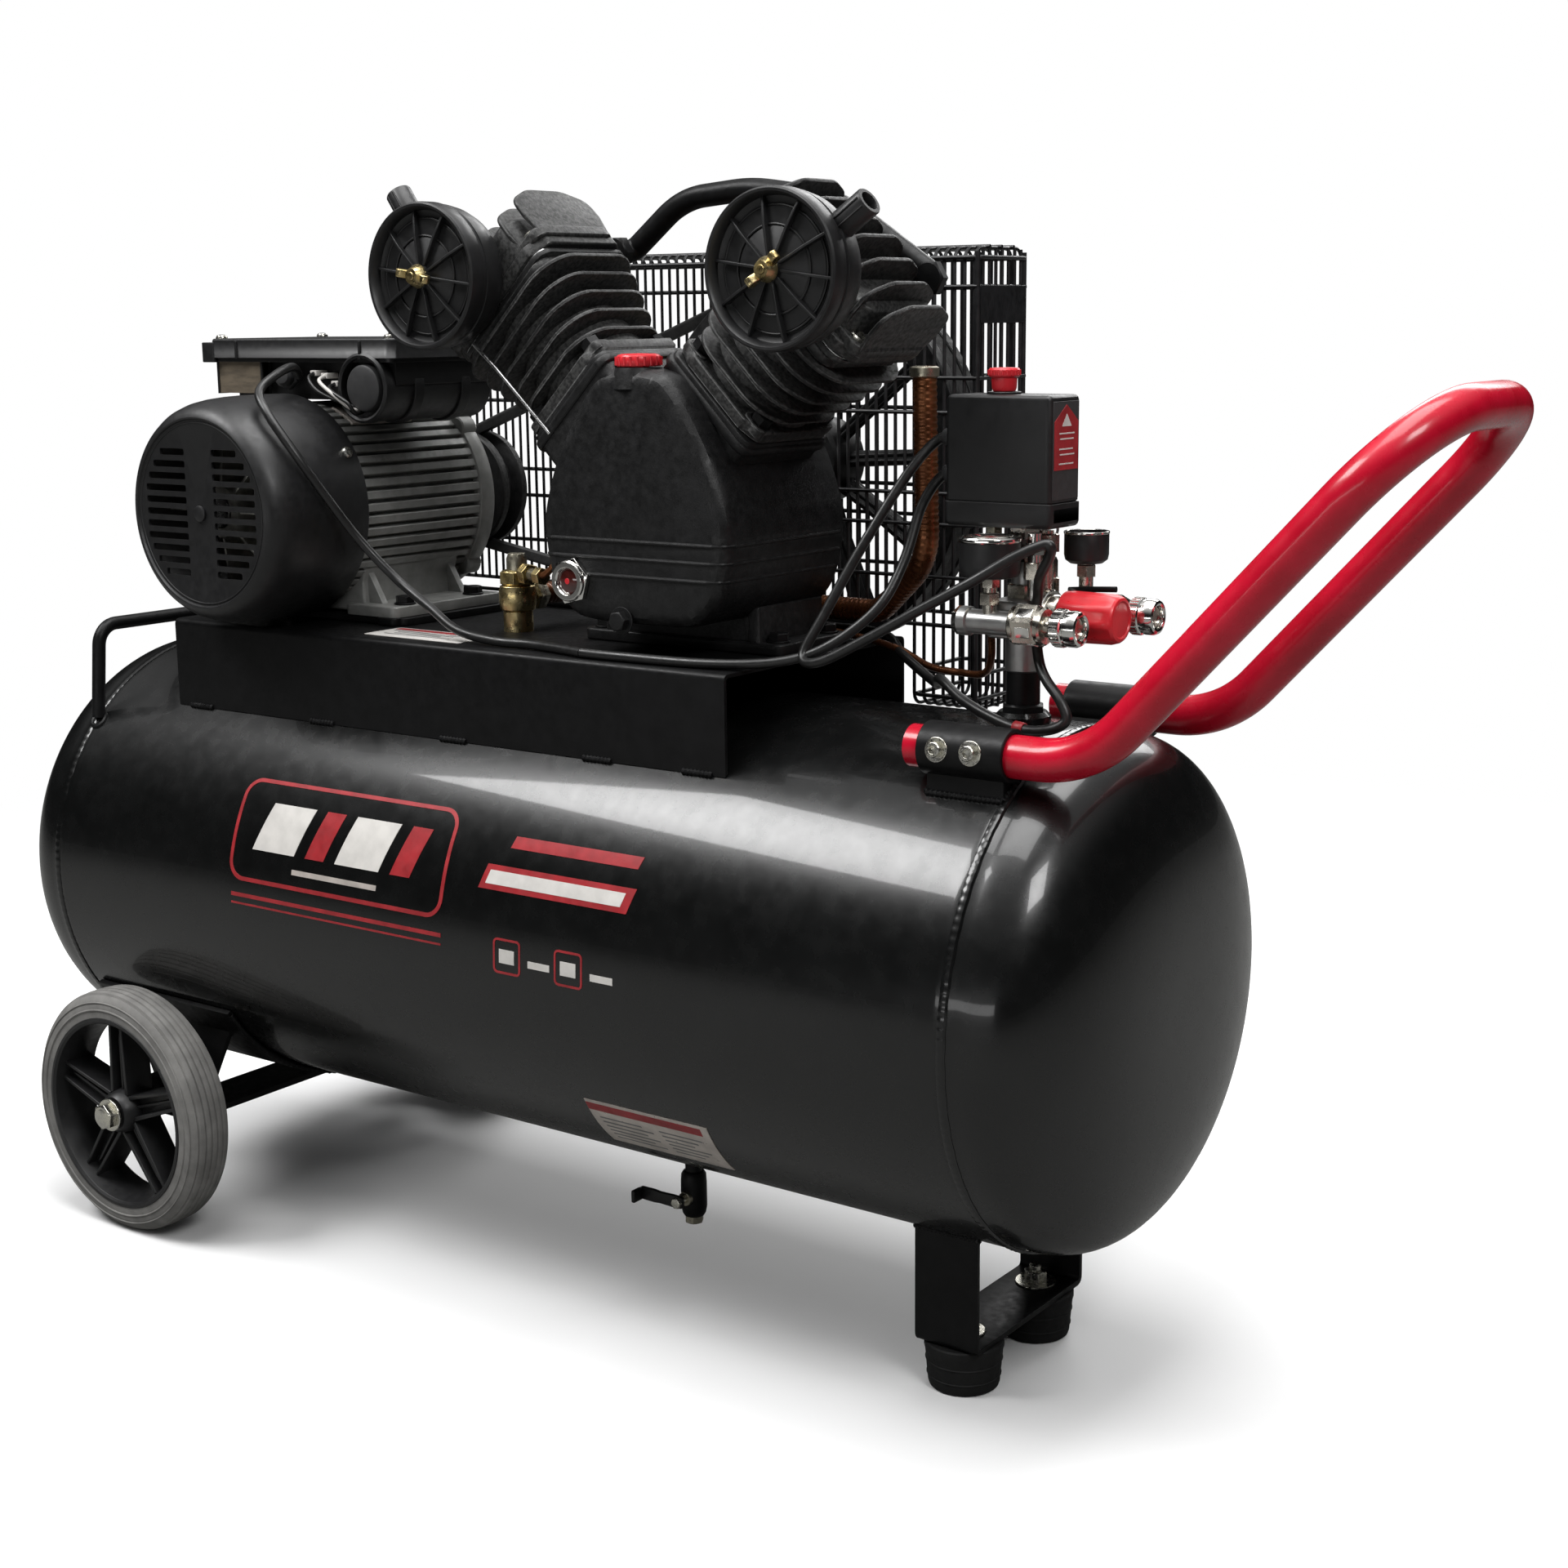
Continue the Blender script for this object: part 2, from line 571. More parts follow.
    def knurl(self, count, x, y, ring_radius, radius, z0, z1):
        """Upright grip ribs around a vertical cap."""
        for i in range(count):
            a = 2 * pi * i / count
            at = place(x + ring_radius * cos(a), y + ring_radius * sin(a), 0)
            self.rod(radius, z0, z1, at, 8)

    def solid(self):
        """The bare mesh object, in metres of the shared frame."""
        mesh = bpy.data.meshes.new(self.name)
        verts = [(x * MM + OFFSET_X, y * MM, z * MM) for x, y, z in self.verts]
        mesh.from_pydata(verts, [], self.faces)
        for material in self.mats:
            mesh.materials.append(material)
        mesh.polygons.foreach_set("material_index", self.face_mats)
        work = bmesh.new()
        work.from_mesh(mesh)
        bmesh.ops.recalc_face_normals(work, faces=work.faces)
        work.to_mesh(mesh)
        work.free()
        ob = bpy.data.objects.new(self.name, mesh)
        bpy.context.scene.collection.objects.link(ob)
        return ob

    def build(self, bevel=0.0, smooth=38, replaces=None):
        ob = self.solid()
        shade(ob, smooth)
        if bevel:
            mod = ob.modifiers.new("bevel", "BEVEL")
            mod.width = bevel * MM
            mod.segments = 2
            mod.limit_method = "ANGLE"
            mod.angle_limit = radians(30)
            mod.harden_normals = False
            mod.use_clamp_overlap = True
        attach(ob, self.body)
        if replaces:
            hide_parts(replaces)
        return ob


def cut(ob, tool, smooth, overlapping=True):
    """Subtracts the tool piece and keeps plain mesh; overlapping: ob is several solids."""
    cutter = tool.solid()
    shown = [m for m in ob.modifiers if m.show_viewport]
    for mod in shown:
        mod.show_viewport = False
    boolean = ob.modifiers.new("cut", "BOOLEAN")
    boolean.operation = "DIFFERENCE"
    boolean.solver = "EXACT"
    boolean.use_self = overlapping
    boolean.object = cutter
    graph = bpy.context.evaluated_depsgraph_get()
    mesh = bpy.data.meshes.new_from_object(ob.evaluated_get(graph))
    for mod in shown:
        mod.show_viewport = True
    ob.modifiers.remove(boolean)
    ob.data = mesh
    bpy.data.objects.remove(cutter)
    shade(ob, smooth)


def shell_z(y, radius=TANK_R):
    """Height of the receiver's upper surface at y."""
    return TANK_Z + sqrt(max(0, radius * radius - y * y))


# ------------------------------------------------------------------ receiver
def build_receiver():
    tank = Piece("receiver", "tank_enamel", TANK_BLACK, SATIN)
    dish = []
    steps = 26
    for i in range(steps + 1):
        a = (pi / 2) * (i / steps)
        radius = (TANK_R - 1.2) * sin(a) ** (2 / DISH_POWER) if i else 0.0
        depth = DISH * cos(a) ** (2 / DISH_POWER) if i < steps else 3
        dish.append((radius, -TANK_HALF - depth))
    # the dish is slightly smaller than the shell; the bead fills the step
    spans = [-TANK_HALF + 1, -TANK_HALF + 6]
    spans += [-TANK_HALF + 6 + (2 * TANK_HALF - 12) * i / 24 for i in range(1, 24)]
    spans += [TANK_HALF - 6, TANK_HALF - 1]
    shell = [(TANK_R, h) for h in spans]
    other_dish = [(r, -h) for r, h in reversed(dish)]
    tank.lathe(dish + shell + other_dish, place(0, 0, TANK_Z, "x"), 128)

    bead_r = TANK_R - 0.9

    def ripple(r, h, a):
        return (bead_r + (r - TANK_R + 0.9) * (1 + 0.07 * sin(a * 180)),
                h * (1.7 + 0.08 * sin(a * 61)))

    for side in (-1, 1):
        at = place(side * (TANK_HALF + 0.5), 0, TANK_Z, "x")
        tank.torus(bead_r, 2.0, at, 720, 8, warp=ripple)
    # longitudinal seam low on the belt side
    a = radians(-62)
    seam_y, seam_z = TANK_R * cos(a), TANK_Z + TANK_R * sin(a)
    tank.weld([(x, seam_y, seam_z) for x in np.linspace(-TANK_HALF, TANK_HALF, 260)],
              1.8, depth=0.15)
    # bosses under the riser, the drain and the check valve
    tank.lathe([(19, -6), (19, 4), (16, 7), (10.5, 7)], place(384, 0, shell_z(0)), 36)
    tank.lathe([(17, -6), (17, 6), (14.5, 8), (9.8, 8)], place(94, 0, TANK_Z - TANK_R, "-z"), 36)
    tank.lathe([(17, -6), (17, 5), (14.5, 7), (9.8, 7)], place(-52, -20, shell_z(20) - 1), 36)
    tank.build(smooth=30, replaces="receiver_tank")


def build_marks():
    """Abstract painted marks wrapped on the operator side, drawn in x and arc length."""
    marks = Piece("receiver_marks", "tank_enamel",
                  MARK_RED, MARK_WHITE, MARK_GREY, MARK_SILVER)
    under = -0.2    # the marks sink this far into the shell

    def wrap(x, along, lift):
        a = along / TANK_R
        return (x, -(TANK_R + lift) * cos(a), TANK_Z + (TANK_R + lift) * sin(a))

    def strip(path, width, lift=0.35):
        """Flat band along a closed path."""
        rings = []
        half = width / 2
        for i, point in enumerate(path):
            ahead = (Vector(path[(i + 1) % len(path)]) - Vector(path[i - 1])).normalized()
            side = Vector((-ahead.y, ahead.x))
            ring = []
            for shift, out in ((-half, under), (half, under), (half, lift), (-half, lift)):
                q = Vector(point) + side * shift
                ring.append(wrap(q.x, q.y, out))
            rings.append(ring)
        marks.loft(rings, closed=True)

    def patch(x0, x1, s0, s1, mat, lift=0.3, skew=0.0):
        cols, rows = 2, 6
        grid = []
        for i in range(cols + 1):
            for j in range(rows + 1):
                s = s0 + (s1 - s0) * j / rows
                grid.append((x0 + (x1 - x0) * i / cols + skew * (s - s0), s))
        k, w = len(grid), rows + 1
        faces = []
        for a in [i * w + j for i in range(cols) for j in range(rows)]:
            faces.append((a, a + 1, a + w + 1, a + w))
            faces.append((k + a, k + a + w, k + a + w + 1, k + a + 1))
        rim = [i * w for i in range(cols + 1)] + [cols * w + j for j in range(1, w)]
        rim += [i * w + rows for i in range(cols - 1, -1, -1)] + list(range(rows - 1, 0, -1))
        for a, b in zip(rim, rim[1:] + rim[:1]):
            faces.append((a, b, k + b, k + a))
        verts = [wrap(x, s, out) for out in (lift, under) for x, s in grid]
        marks.add(verts, faces, mat)

    def along(angle):
        return radians(angle) * TANK_R

    # rounded frame, its straight runs cut short enough to follow the shell
    low, high = along(8.5), along(33.5)
    outline = round_rect(-106, (low + high) / 2, 112, (high - low) / 2, 14, 8)
    dense = []
    for a, b in zip(outline, outline[1:] + outline[:1]):
        a, b = Vector(a), Vector(b)
        count = max(1, int((b - a).length / 8))
        dense += [tuple(a.lerp(b, j / count)) for j in range(count)]
    strip(dense, 3.2)
    # four slanted bars in the frame, one rule in it and two below
    bars = ((-196, -150, MARK_WHITE), (-138, -118, MARK_RED),
            (-106, -60, MARK_WHITE), (-48, -28, MARK_RED))
    for x0, x1, mat in bars:
        patch(x0, x1, low + 24, low + 62, mat, skew=0.35)
    patch(-150, -60, low + 10, low + 14, MARK_SILVER)
    patch(-216, 8, along(5.2) - 4, along(5.2) - 1, MARK_RED)
    patch(-216, 8, along(5.2) - 10, along(5.2) - 8.5, MARK_RED)
    # second group: two broad slanted rules and two small frames
    patch(62, 178, along(27), along(27) + 9, MARK_RED, skew=0.3)
    patch(40, 176, along(17), along(17) + 18, MARK_RED, skew=0.3)
    patch(46, 170, along(17) + 4, along(17) + 14, MARK_WHITE, skew=0.3, lift=0.45)
    for x in (72, 129):
        strip(round_rect(x, along(2.5), 12, 12, 3, 4), 1.6)
        patch(x - 7, x + 7, along(2.5) - 5, along(2.5) + 5, MARK_WHITE)
        patch(x + 20, x + 40, along(1.6) - 2, along(1.6) + 3, MARK_WHITE)
    # ruled plate low on the shell, beside the drain
    patch(112, 222, along(-50.5), along(-32), MARK_SILVER, lift=0.5, skew=0.08)
    patch(116, 219, along(-35.6), along(-33.0), MARK_RED, lift=0.62, skew=0.08)
    for i in range(6):
        s = along(-38.5 - i * 1.8)
        patch(122, 160 + (i % 2) * 8, s, s + 1.6, MARK_GREY, lift=0.62)
        patch(176, 214 - (i % 3) * 6, s, s + 1.6, MARK_GREY, lift=0.62)
    marks.build(smooth=60)


# ------------------------------------------------------------------ wheels
def build_tyre(side, at):
    tyre = Piece("tyre_" + side, "tyre_rubber", TYRE, body=side + "_wheel")
    w = 19.5    # half width
    # rounded carcass with five circumferential ribs
    profile = [(80, -w), (90, -w - 0.3), (95.2, -w + 1.6), (98.2, -w + 4.2)]
    edges = np.linspace(-14.2, 14.2, 6)

    def crown(h):
        return WHEEL_R - 0.0052 * h * h

    for a, b in zip(edges, edges[1:]):
        profile += [(crown(a) - 2.2, a + 0.1), (crown(a) - 0.25, a + 0.9),
                    (crown((a + b) / 2), (a + b) / 2),
                    (crown(b) - 0.25, b - 0.9), (crown(b) - 2.2, b - 0.1)]
    profile += [(98.2, w - 4.2), (95.2, w - 1.6), (90, w + 0.3), (80, w), (79, w - 2),
                (79, -w + 2)]
    tyre.lathe(profile, at, 144, closed=True)
    # raised rings on the side walls
    for h in (-w, w):
        tyre.torus(86.5, 0.9, at @ place(0, 0, h + copysign(0.2, h)), 120, 8)
        tyre.torus(92.6, 0.7, at @ place(0, 0, h * 0.985), 120, 8)
    tyre.build(smooth=40, replaces="tyre_" + side)


def build_rim(side, at):
    rim = Piece("rim_" + side, "black_plastic", PLASTIC, body=side + "_wheel")
    # channel with a rolled lip, then the hub; (radius, offset) of the lower halves
    lip = [(78.8, -17.5), (80.2, -18.8), (79.6, -20.2), (77.2, -20.4), (75.2, -18.8),
           (72.5, -9), (71.5, -2)]
    hub = [(8.6, -20), (14, -20), (16.5, -17), (18.5, -6)]
    for half, segs in ((lip, 96), (hub, 48)):
        rim.lathe(half + [(r, -h) for r, h in reversed(half)], at, segs, closed=True)
    # five spokes: a web, two cheeks and a pointed rib
    web = round_poly([(14, -10), (73, -7.5), (73, 7.5), (14, 10)], 1.5, 3)
    rib = [(18, -1.2), (60, -1.2), (66, 0), (60, 1.2), (18, 1.2)]
    for i in range(5):
        spoke = at @ spin("Z", 90 + i * 72)
        rim.prism(web, -5, 5, at=spoke, edge=1.2)
        for q in (-1, 1):
            cheek = [(15, q * 10.5), (73, q * 8.2), (73, q * 5.4), (15, q * 7.2)]
            rim.prism(cheek, -13, 13, at=spoke, edge=0.8)
        rim.prism(rib, -9, 9, at=spoke, edge=0.5)
    rim.build(bevel=0.5, smooth=32, replaces="rim_" + side)


def build_wheel_bolt(side, sign):
    bolt = Piece("wheel_bolt_" + side, "bright_steel", ZINC)
    seat = place(WHEEL_X, sign * (WHEEL_Y + 22.2), WHEEL_Z, "y" if sign > 0 else "-y")
    bolt.ring(13.5, 8.3, 0, 2.2, seat, 40, edge=0.4)
    bolt.hexagon(19, 2.2, 9.2, seat, turn=18)
    bolt.lathe([(7.4, 9.0), (6.2, 9.5), (0, 9.6)], seat, 24)
    bolt.lathe([(8.0, -2), (8.0, -84)], seat, 32)
    bolt.hexagon(19, -93, -85, seat, turn=8, both=True)
    bolt.ring(13, 8.2, -84.5, -83.2, seat, 36, edge=0.3)
    bolt.build(bevel=0.25, smooth=35, replaces="axle_bolt_" + side)


def build_axle_bracket():
    bracket = Piece("axle_bracket_visual", "satin_black_metal", SATIN)
    x = WHEEL_X
    saddle = arc(0, TANK_Z, 184.6, 212, 328, 39) + arc(0, TANK_Z, 180.5, 328, 212, 39)
    bracket.prism(saddle, x - 78, x + 84, "yz")
    cheek = [(x - 66, 176), (x + 72, 176), (x + 24, 86), (x - 24, 86)]
    for y in (-140, 135):
        bracket.prism(round_poly(cheek, [2, 2, 8, 8], 5), y, y + 5, "xz", edge=0.6)
    lug = [(x - 20, 86), (x + 20, 86), (x + 20, 117), (x - 20, 117)]
    for y in (-160, 118):
        bracket.prism(round_poly(lug, 3, 3), y, y + 42, "xz", edge=0.8)
    bracket.box(x - 24, x + 24, -145, 145, 81, 86)
    for end in (x - 78, x + 84):
        path = [(end, y, z) for y, z in arc(0, TANK_Z, 182.5, 213, 327, 159)]
        bracket.weld(path, 2.2, depth=0.18, rate=1.7)
    bracket.build(bevel=0.5, smooth=35, replaces="axle_bracket")


def build_wheels():
    for side, sign in (("front", -1), ("rear", 1)):
        at = place(WHEEL_X, sign * WHEEL_Y, WHEEL_Z) @ spin("X", 90)
        build_tyre(side, at)
        build_rim(side, at)
        build_wheel_bolt(side, sign)
    build_axle_bracket()


# ------------------------------------------------------------------ strap and feet
def build_feet():
    strap = Piece("foot_strap_visual", "satin_black_metal", SATIN, ZINC)
    y, z, thick = STRAP_HALF_Y, STRAP_Z, STRAP_THICK
    x0, x1 = STRAP_X - STRAP_HALF_X, STRAP_X + STRAP_HALF_X
    top = TANK_Z - sqrt(SEAT_R ** 2 - y ** 2)
    outline = [(-y, top + 3), (-y, z), (y, z), (y, top + 3), (y - thick, top + 1),
               (y - thick, z + thick), (-y + thick, z + thick), (-y + thick, top + 1)]
    strap.prism(round_poly(outline, [0, 7, 7, 0, 0, 3.2, 3.2, 0], 5), x0, x1, "yz", edge=0.5)
    for side in (-1, 1):
        for wy in (side * y, side * (y - thick)):
            wz = TANK_Z - sqrt(SEAT_R ** 2 - wy ** 2) + 0.6
            strap.weld([(x, wy, wz) for x in np.linspace(x0, x1, 60)], 2.2)
        seat = (STRAP_X, side * FOOT_Y)
        strap.bolt(place(*seat, z + thick), 9, ZINC, turn=12, stud=5)
        strap.ring(15, 5, 0, 1.6, place(*seat, z + thick - 0.05), 36, ZINC, edge=0.3)
    strap.build(bevel=0.35, smooth=35, replaces="foot_strap")
    for side, y in (("front", -FOOT_Y), ("rear", FOOT_Y)):
        foot = Piece("rubber_foot_" + side, "black_rubber", RUBBER, ZINC)
        foot.lathe([(0, 1.2), (6.2, 1.2), (7, 0), (22, 0), (24.4, 1.2), (25.2, 4), (27.3, 27),
                    (28, 29.5), (28, 33), (27, 34), (0, 34)], place(STRAP_X, y, 0), 72)
        foot.torus(26.2, 1.0, place(STRAP_X, y, 20), 72, 8)
        foot.torus(25.4, 0.8, place(STRAP_X, y, 9), 72, 8)
        foot.build(smooth=40, replaces="foot_" + side)


# ------------------------------------------------------------------ handles
def build_push_bar():
    bar = Piece("push_bar", "red_enamel", RED_ENAMEL, SHADOW)
    half = [(358, HANDLE_Y, HANDLE_Z), (486, HANDLE_Y, HANDLE_Z), (689, HANDLE_Y - 2, 678)]
    path = [(x, -y, z) for x, y, z in half] + half[::-1]
    bar.tube(fillet(path, [80, 70, 70, 80], 20), HANDLE_R, 40)
    bar.build(smooth=40, replaces="push_handle")


def build_handle_clamp(side, sign):
    clamp = Piece("handle_clamp_visual_" + side, "satin_black_metal", SATIN, ZINC)
    y = sign * HANDLE_Y
    clamp.ring(HANDLE_R + 3.6, HANDLE_R + 0.15, 0, CLAMP_X1 - CLAMP_X0,
               place(CLAMP_X0, y, HANDLE_Z, "x"), 56, edge=0.6)
    # welded cradle between socket and shell
    x0, x1 = CLAMP_X0 + 3, CLAMP_X1 - 3
    inner, outer = sign * 72, sign * 104
    outline = [(inner, shell_z(inner) - 1.0), (outer, shell_z(outer) - 1.0),
               (outer, HANDLE_Z - 8), (sign * (HANDLE_Y + 10), HANDLE_Z - 2),
               (sign * (HANDLE_Y - 14), HANDLE_Z - 2), (inner, HANDLE_Z - 16)]
    clamp.prism(round_poly(outline, [0, 0, 4, 2, 2, 6], 4), x0, x1, "yz", edge=0.6)
    for x in (x0, x1):
        path = [(x, wy, shell_z(wy) + 0.8) for wy in np.linspace(inner, outer, 40)]
        clamp.weld(path, 2.3, rate=1.8)
    for wy in (inner, outer):
        path = [(x, wy, shell_z(wy) + 0.8) for x in np.linspace(x0, x1, 70)]
        clamp.weld(path, 2.3, rate=1.8)
    # two clamp screws on the outer flank, slightly above the centre
    for x in (CLAMP_X0 + 16, CLAMP_X0 + 41):
        axis = Vector((0, sign * cos(radians(8)), sin(radians(8))))
        seat = Vector((x, y, HANDLE_Z)) + axis * (HANDLE_R + 2.6)
        clamp.ring(8.2, 3.2, 0, 1.8, place(*seat, axis), 32, ZINC, edge=0.3)
        clamp.cap_screw(place(*(seat + axis * 1.6), axis), 6.6, ZINC, height=4.6)
    clamp.build(bevel=0.4, smooth=35, replaces="handle_clamp_" + side)


def build_lifting_bar():
    bar = Piece("lifting_bar", "satin_black_metal", SATIN)
    x, y, top = -426, 127, 486
    z = shell_z(y) - 2
    path = [(x, -y - 5, z), (x, -y + 2, top), (x, y - 2, top), (x, y + 5, z)]
    bar.tube(fillet(path, 18, 10), 5.5, 20)
    for s in (-1, 1):
        normal = Vector((0, s * (y + 4), shell_z(y + 4) - TANK_Z))
        bar.torus(6.6, 2.2, place(x, s * (y + 4.4), shell_z(y + 4.4), normal), 40, 8)
    bar.build(smooth=40, replaces="grab_handle")


def build_handles():
    build_push_bar()
    build_handle_clamp("front", -1)
    build_handle_clamp("rear", 1)
    build_lifting_bar()


# ------------------------------------------------------------------ deck
def build_deck():
    deck = Piece("deck_visual", "satin_black_metal",
                 SATIN, MARK_WHITE, MARK_RED, MARK_GREY, SHADOW, ZINC)
    y, z, thick = DECK_Y, DECK_Z, DECK_THICK
    foot = shell_z(y, SEAT_R) - 0.3
    outline = [(-y, foot), (-y, z), (y, z), (y, foot), (y - thick, foot + 2.5),
               (y - thick, z - thick), (-y + thick, z - thick), (-y + thick, foot + 2.5)]
    deck.prism(round_poly(outline, [0, 5, 5, 0, 0, 2.5, 2.5, 0], 6), DECK_X0, DECK_X1, "yz",
               edge=0.4)
    # stitch welds to the shell
    for side in (-1, 1):
        for x0 in (-330, -190, -50, 90, 180):
            path = [(x, side * y, foot + 0.8) for x in np.linspace(x0, x0 + 26, 26)]
            deck.weld(path, 2.2)
    # ruled plate on the deck top, operator side
    deck.prism(round_rect(-92, -78, 50, 20, 2, 3), z, z + 0.5, mat=MARK_WHITE)
    deck.prism(round_rect(-92, -64, 46, 3.4, 1, 2), z + 0.4, z + 0.7, mat=MARK_RED)
    for i in range(4):
        line = round_rect(-100 + (i % 2) * 4, -72 - i * 5, 34 - (i % 3) * 5, 1.0, 0.4, 2)
        deck.prism(line, z + 0.4, z + 0.7, mat=MARK_GREY)
    deck.build(bevel=0.4, smooth=32, replaces="deck_plate")


# ------------------------------------------------------------------ motor
MOTOR = place(MOTOR_X, 0, MOTOR_Z, "y")     # heights run along +Y


def build_motor_body():
    body = Piece("motor_body", "grey_aluminium", MOTOR_GREY, MARK_SILVER)
    # one cooling fin: (share of the fin pitch, radius)
    fin = ((-0.36, 75.0), (-0.33, 80.2), (-0.27, 81.0), (0.27, 81.0), (0.33, 80.2),
           (0.36, 75.0), (0.5, 74.6))
    outline = []
    pitch = 360 / 52
    for i in range(52):
        for share, r in fin:
            t = radians(i * pitch + share * pitch)
            outline.append((MOTOR_X + r * cos(t), MOTOR_Z + r * sin(t)))
    body.prism(outline, -60, 72, "xz", edge=0.6)
    body.rod(74, -61, 73.5, MOTOR, 96)
    band = arc(MOTOR_X, MOTOR_Z, 82.2, 52, 70, 7) + arc(MOTOR_X, MOTOR_Z, 80, 70, 52, 7)
    body.prism(band, -40, 26, "xz", MARK_SILVER)
    # feet, saddle and gussets
    for x0, x1 in ((-352, -300), (-208, -150)):
        pad = round_rect((x0 + x1) / 2, 7, (x1 - x0) / 2, 62, 7, 5)
        body.prism(pad, DECK_Z + 6.5, DECK_Z + 15, edge=1.2, base_edge=0.3)
    saddle = [(-62, DECK_Z + 8), (62, DECK_Z + 8), (60, 528), (66, 548), (52, 560),
              (-52, 560), (-66, 548), (-60, 528)]
    saddle = [(MOTOR_X + x, z) for x, z in saddle]
    body.prism(round_poly(saddle, [2, 2, 10, 6, 2, 2, 6, 10], 5), -46, 60, "xz", edge=2.5)
    for side in (-1, 1):
        inner, outer = MOTOR_X + side * 60, MOTOR_X + side * 78
        gusset = [(inner, DECK_Z + 12), (outer, DECK_Z + 12), (inner, DECK_Z + 42)]
        for y in (-38, 52):
            body.prism(gusset, y - 3, y + 3, "xz", edge=0.6)
    body.build(bevel=0.25, smooth=30, replaces="motor_housing")


def build_motor_mount():
    bolts = Piece("motor_feet_bolts", "bright_steel", SATIN, ZINC)
    for x in (-160, -342):
        for y in (-34, 44):
            bolts.bolt(place(x, y, DECK_Z + 15), 8, turn=y)
    bolts.build(bevel=0.25, smooth=35)
    base = Piece("motor_slide_base", "satin_black_metal", SATIN)
    base.prism(round_rect(-252, 7, 108, 58, 5, 4), DECK_Z + 0.3, DECK_Z + 6.2, edge=0.6)
    for x in (-346, -160):
        base.prism(round_rect(x, 7, 10, 64, 4, 4), DECK_Z + 0.4, DECK_Z + 6.4, edge=0.6)
    base.build(bevel=0.2, smooth=32, replaces="motor_base")


def build_motor_shield():
    """Belt-side end shield with a bearing boss, rim lugs, bolts and radial ribs."""
    shield = Piece("motor_shield_belt_side", "grey_aluminium", MOTOR_GREY, ZINC)
    shield.lathe([(16, 70), (79.5, 70), (82.5, 71.5), (83.4, 75), (83.4, 84), (82, 86.5),
                  (76, 89), (66, 93), (40, 95.2), (34, 100), (27, 102), (18, 102),
                  (16, 100)], MOTOR, 96, closed=True)
    for i in range(4):
        a = radians(45 + 90 * i)
        x, z = MOTOR_X + 79 * cos(a), MOTOR_Z + 79 * sin(a)
        shield.rod(9.5, 70, 86, place(x, 0, z, "y"), 24, edge=1.2)
        shield.bolt(place(x, 86, z, "y"), 5.5, ZINC, turn=20 * i)
    for i in range(8):
        at = place(MOTOR_X, 0, MOTOR_Z) @ spin("Y", -(22.5 + 45 * i))
        shield.prism([(34, 92), (72, 86), (72, 90.5), (34, 98)], -2, 2, at=at, edge=0.5)
    shield.build(bevel=0.35, smooth=32, replaces="motor_end_shield")


def build_fan_cowl():
    cowl = Piece("fan_cowl_visual", "black_plastic", PLASTIC)
    outer = [(0, -155.0), (70.4, -155.0), (71.4, -155.4), (72.2, -157), (73.4, -157.4),
             (75.2, -156.6), (79, -153.6), (82.4, -148.5), (84.9, -141), (86.6, -131),
             (87.7, -118), (88.2, -105), (88.2, -64), (87.4, -62.2)]
    inner = [(85.6, -62.2), (85.6, -105), (84.9, -119), (83.2, -131), (80.6, -141),
             (77.6, -148), (73.4, -152.4), (0, -152.4)]
    cowl.lathe(outer + inner, MOTOR, 128)
    ob = cowl.build(smooth=34, replaces="fan_cowl")
    # two columns of slots, shortened towards the rim
    tool = Piece("cutter", None)
    for i in range(-5, 6):
        reach = sqrt(max(0, 65.5 ** 2 - (abs(i) * 9.3 + 2.4) ** 2))
        for s in (-1, 1):
            a, b = sorted((MOTOR_X + s * 15.5, MOTOR_X + s * min(reach, 62)))
            slot = round_rect((a + b) / 2, MOTOR_Z + i * 9.3, (b - a) / 2, 2.6, 1.6, 4)
            tool.prism(slot, -160, -150, "xz")
    cut(ob, tool, smooth=34, overlapping=False)

    detail = Piece("cowl_details", "black_plastic", PLASTIC, ZINC)
    detail.lathe([(6.2, -155.4), (6.2, -156.6), (4.8, -157.4), (0, -157.6)], MOTOR, 32)
    detail.torus(69.6, 0.7, place(MOTOR_X, -155.0, MOTOR_Z, "y"), 96, 8)
    for angle in (30, 150, 270):
        t = radians(angle)
        out = Vector((cos(t), 0, sin(t)))
        seat = Vector((MOTOR_X, -72, MOTOR_Z)) + out * 87.9
        detail.pan_screw(place(*seat, out), 5, ZINC)
    detail.build(smooth=34)


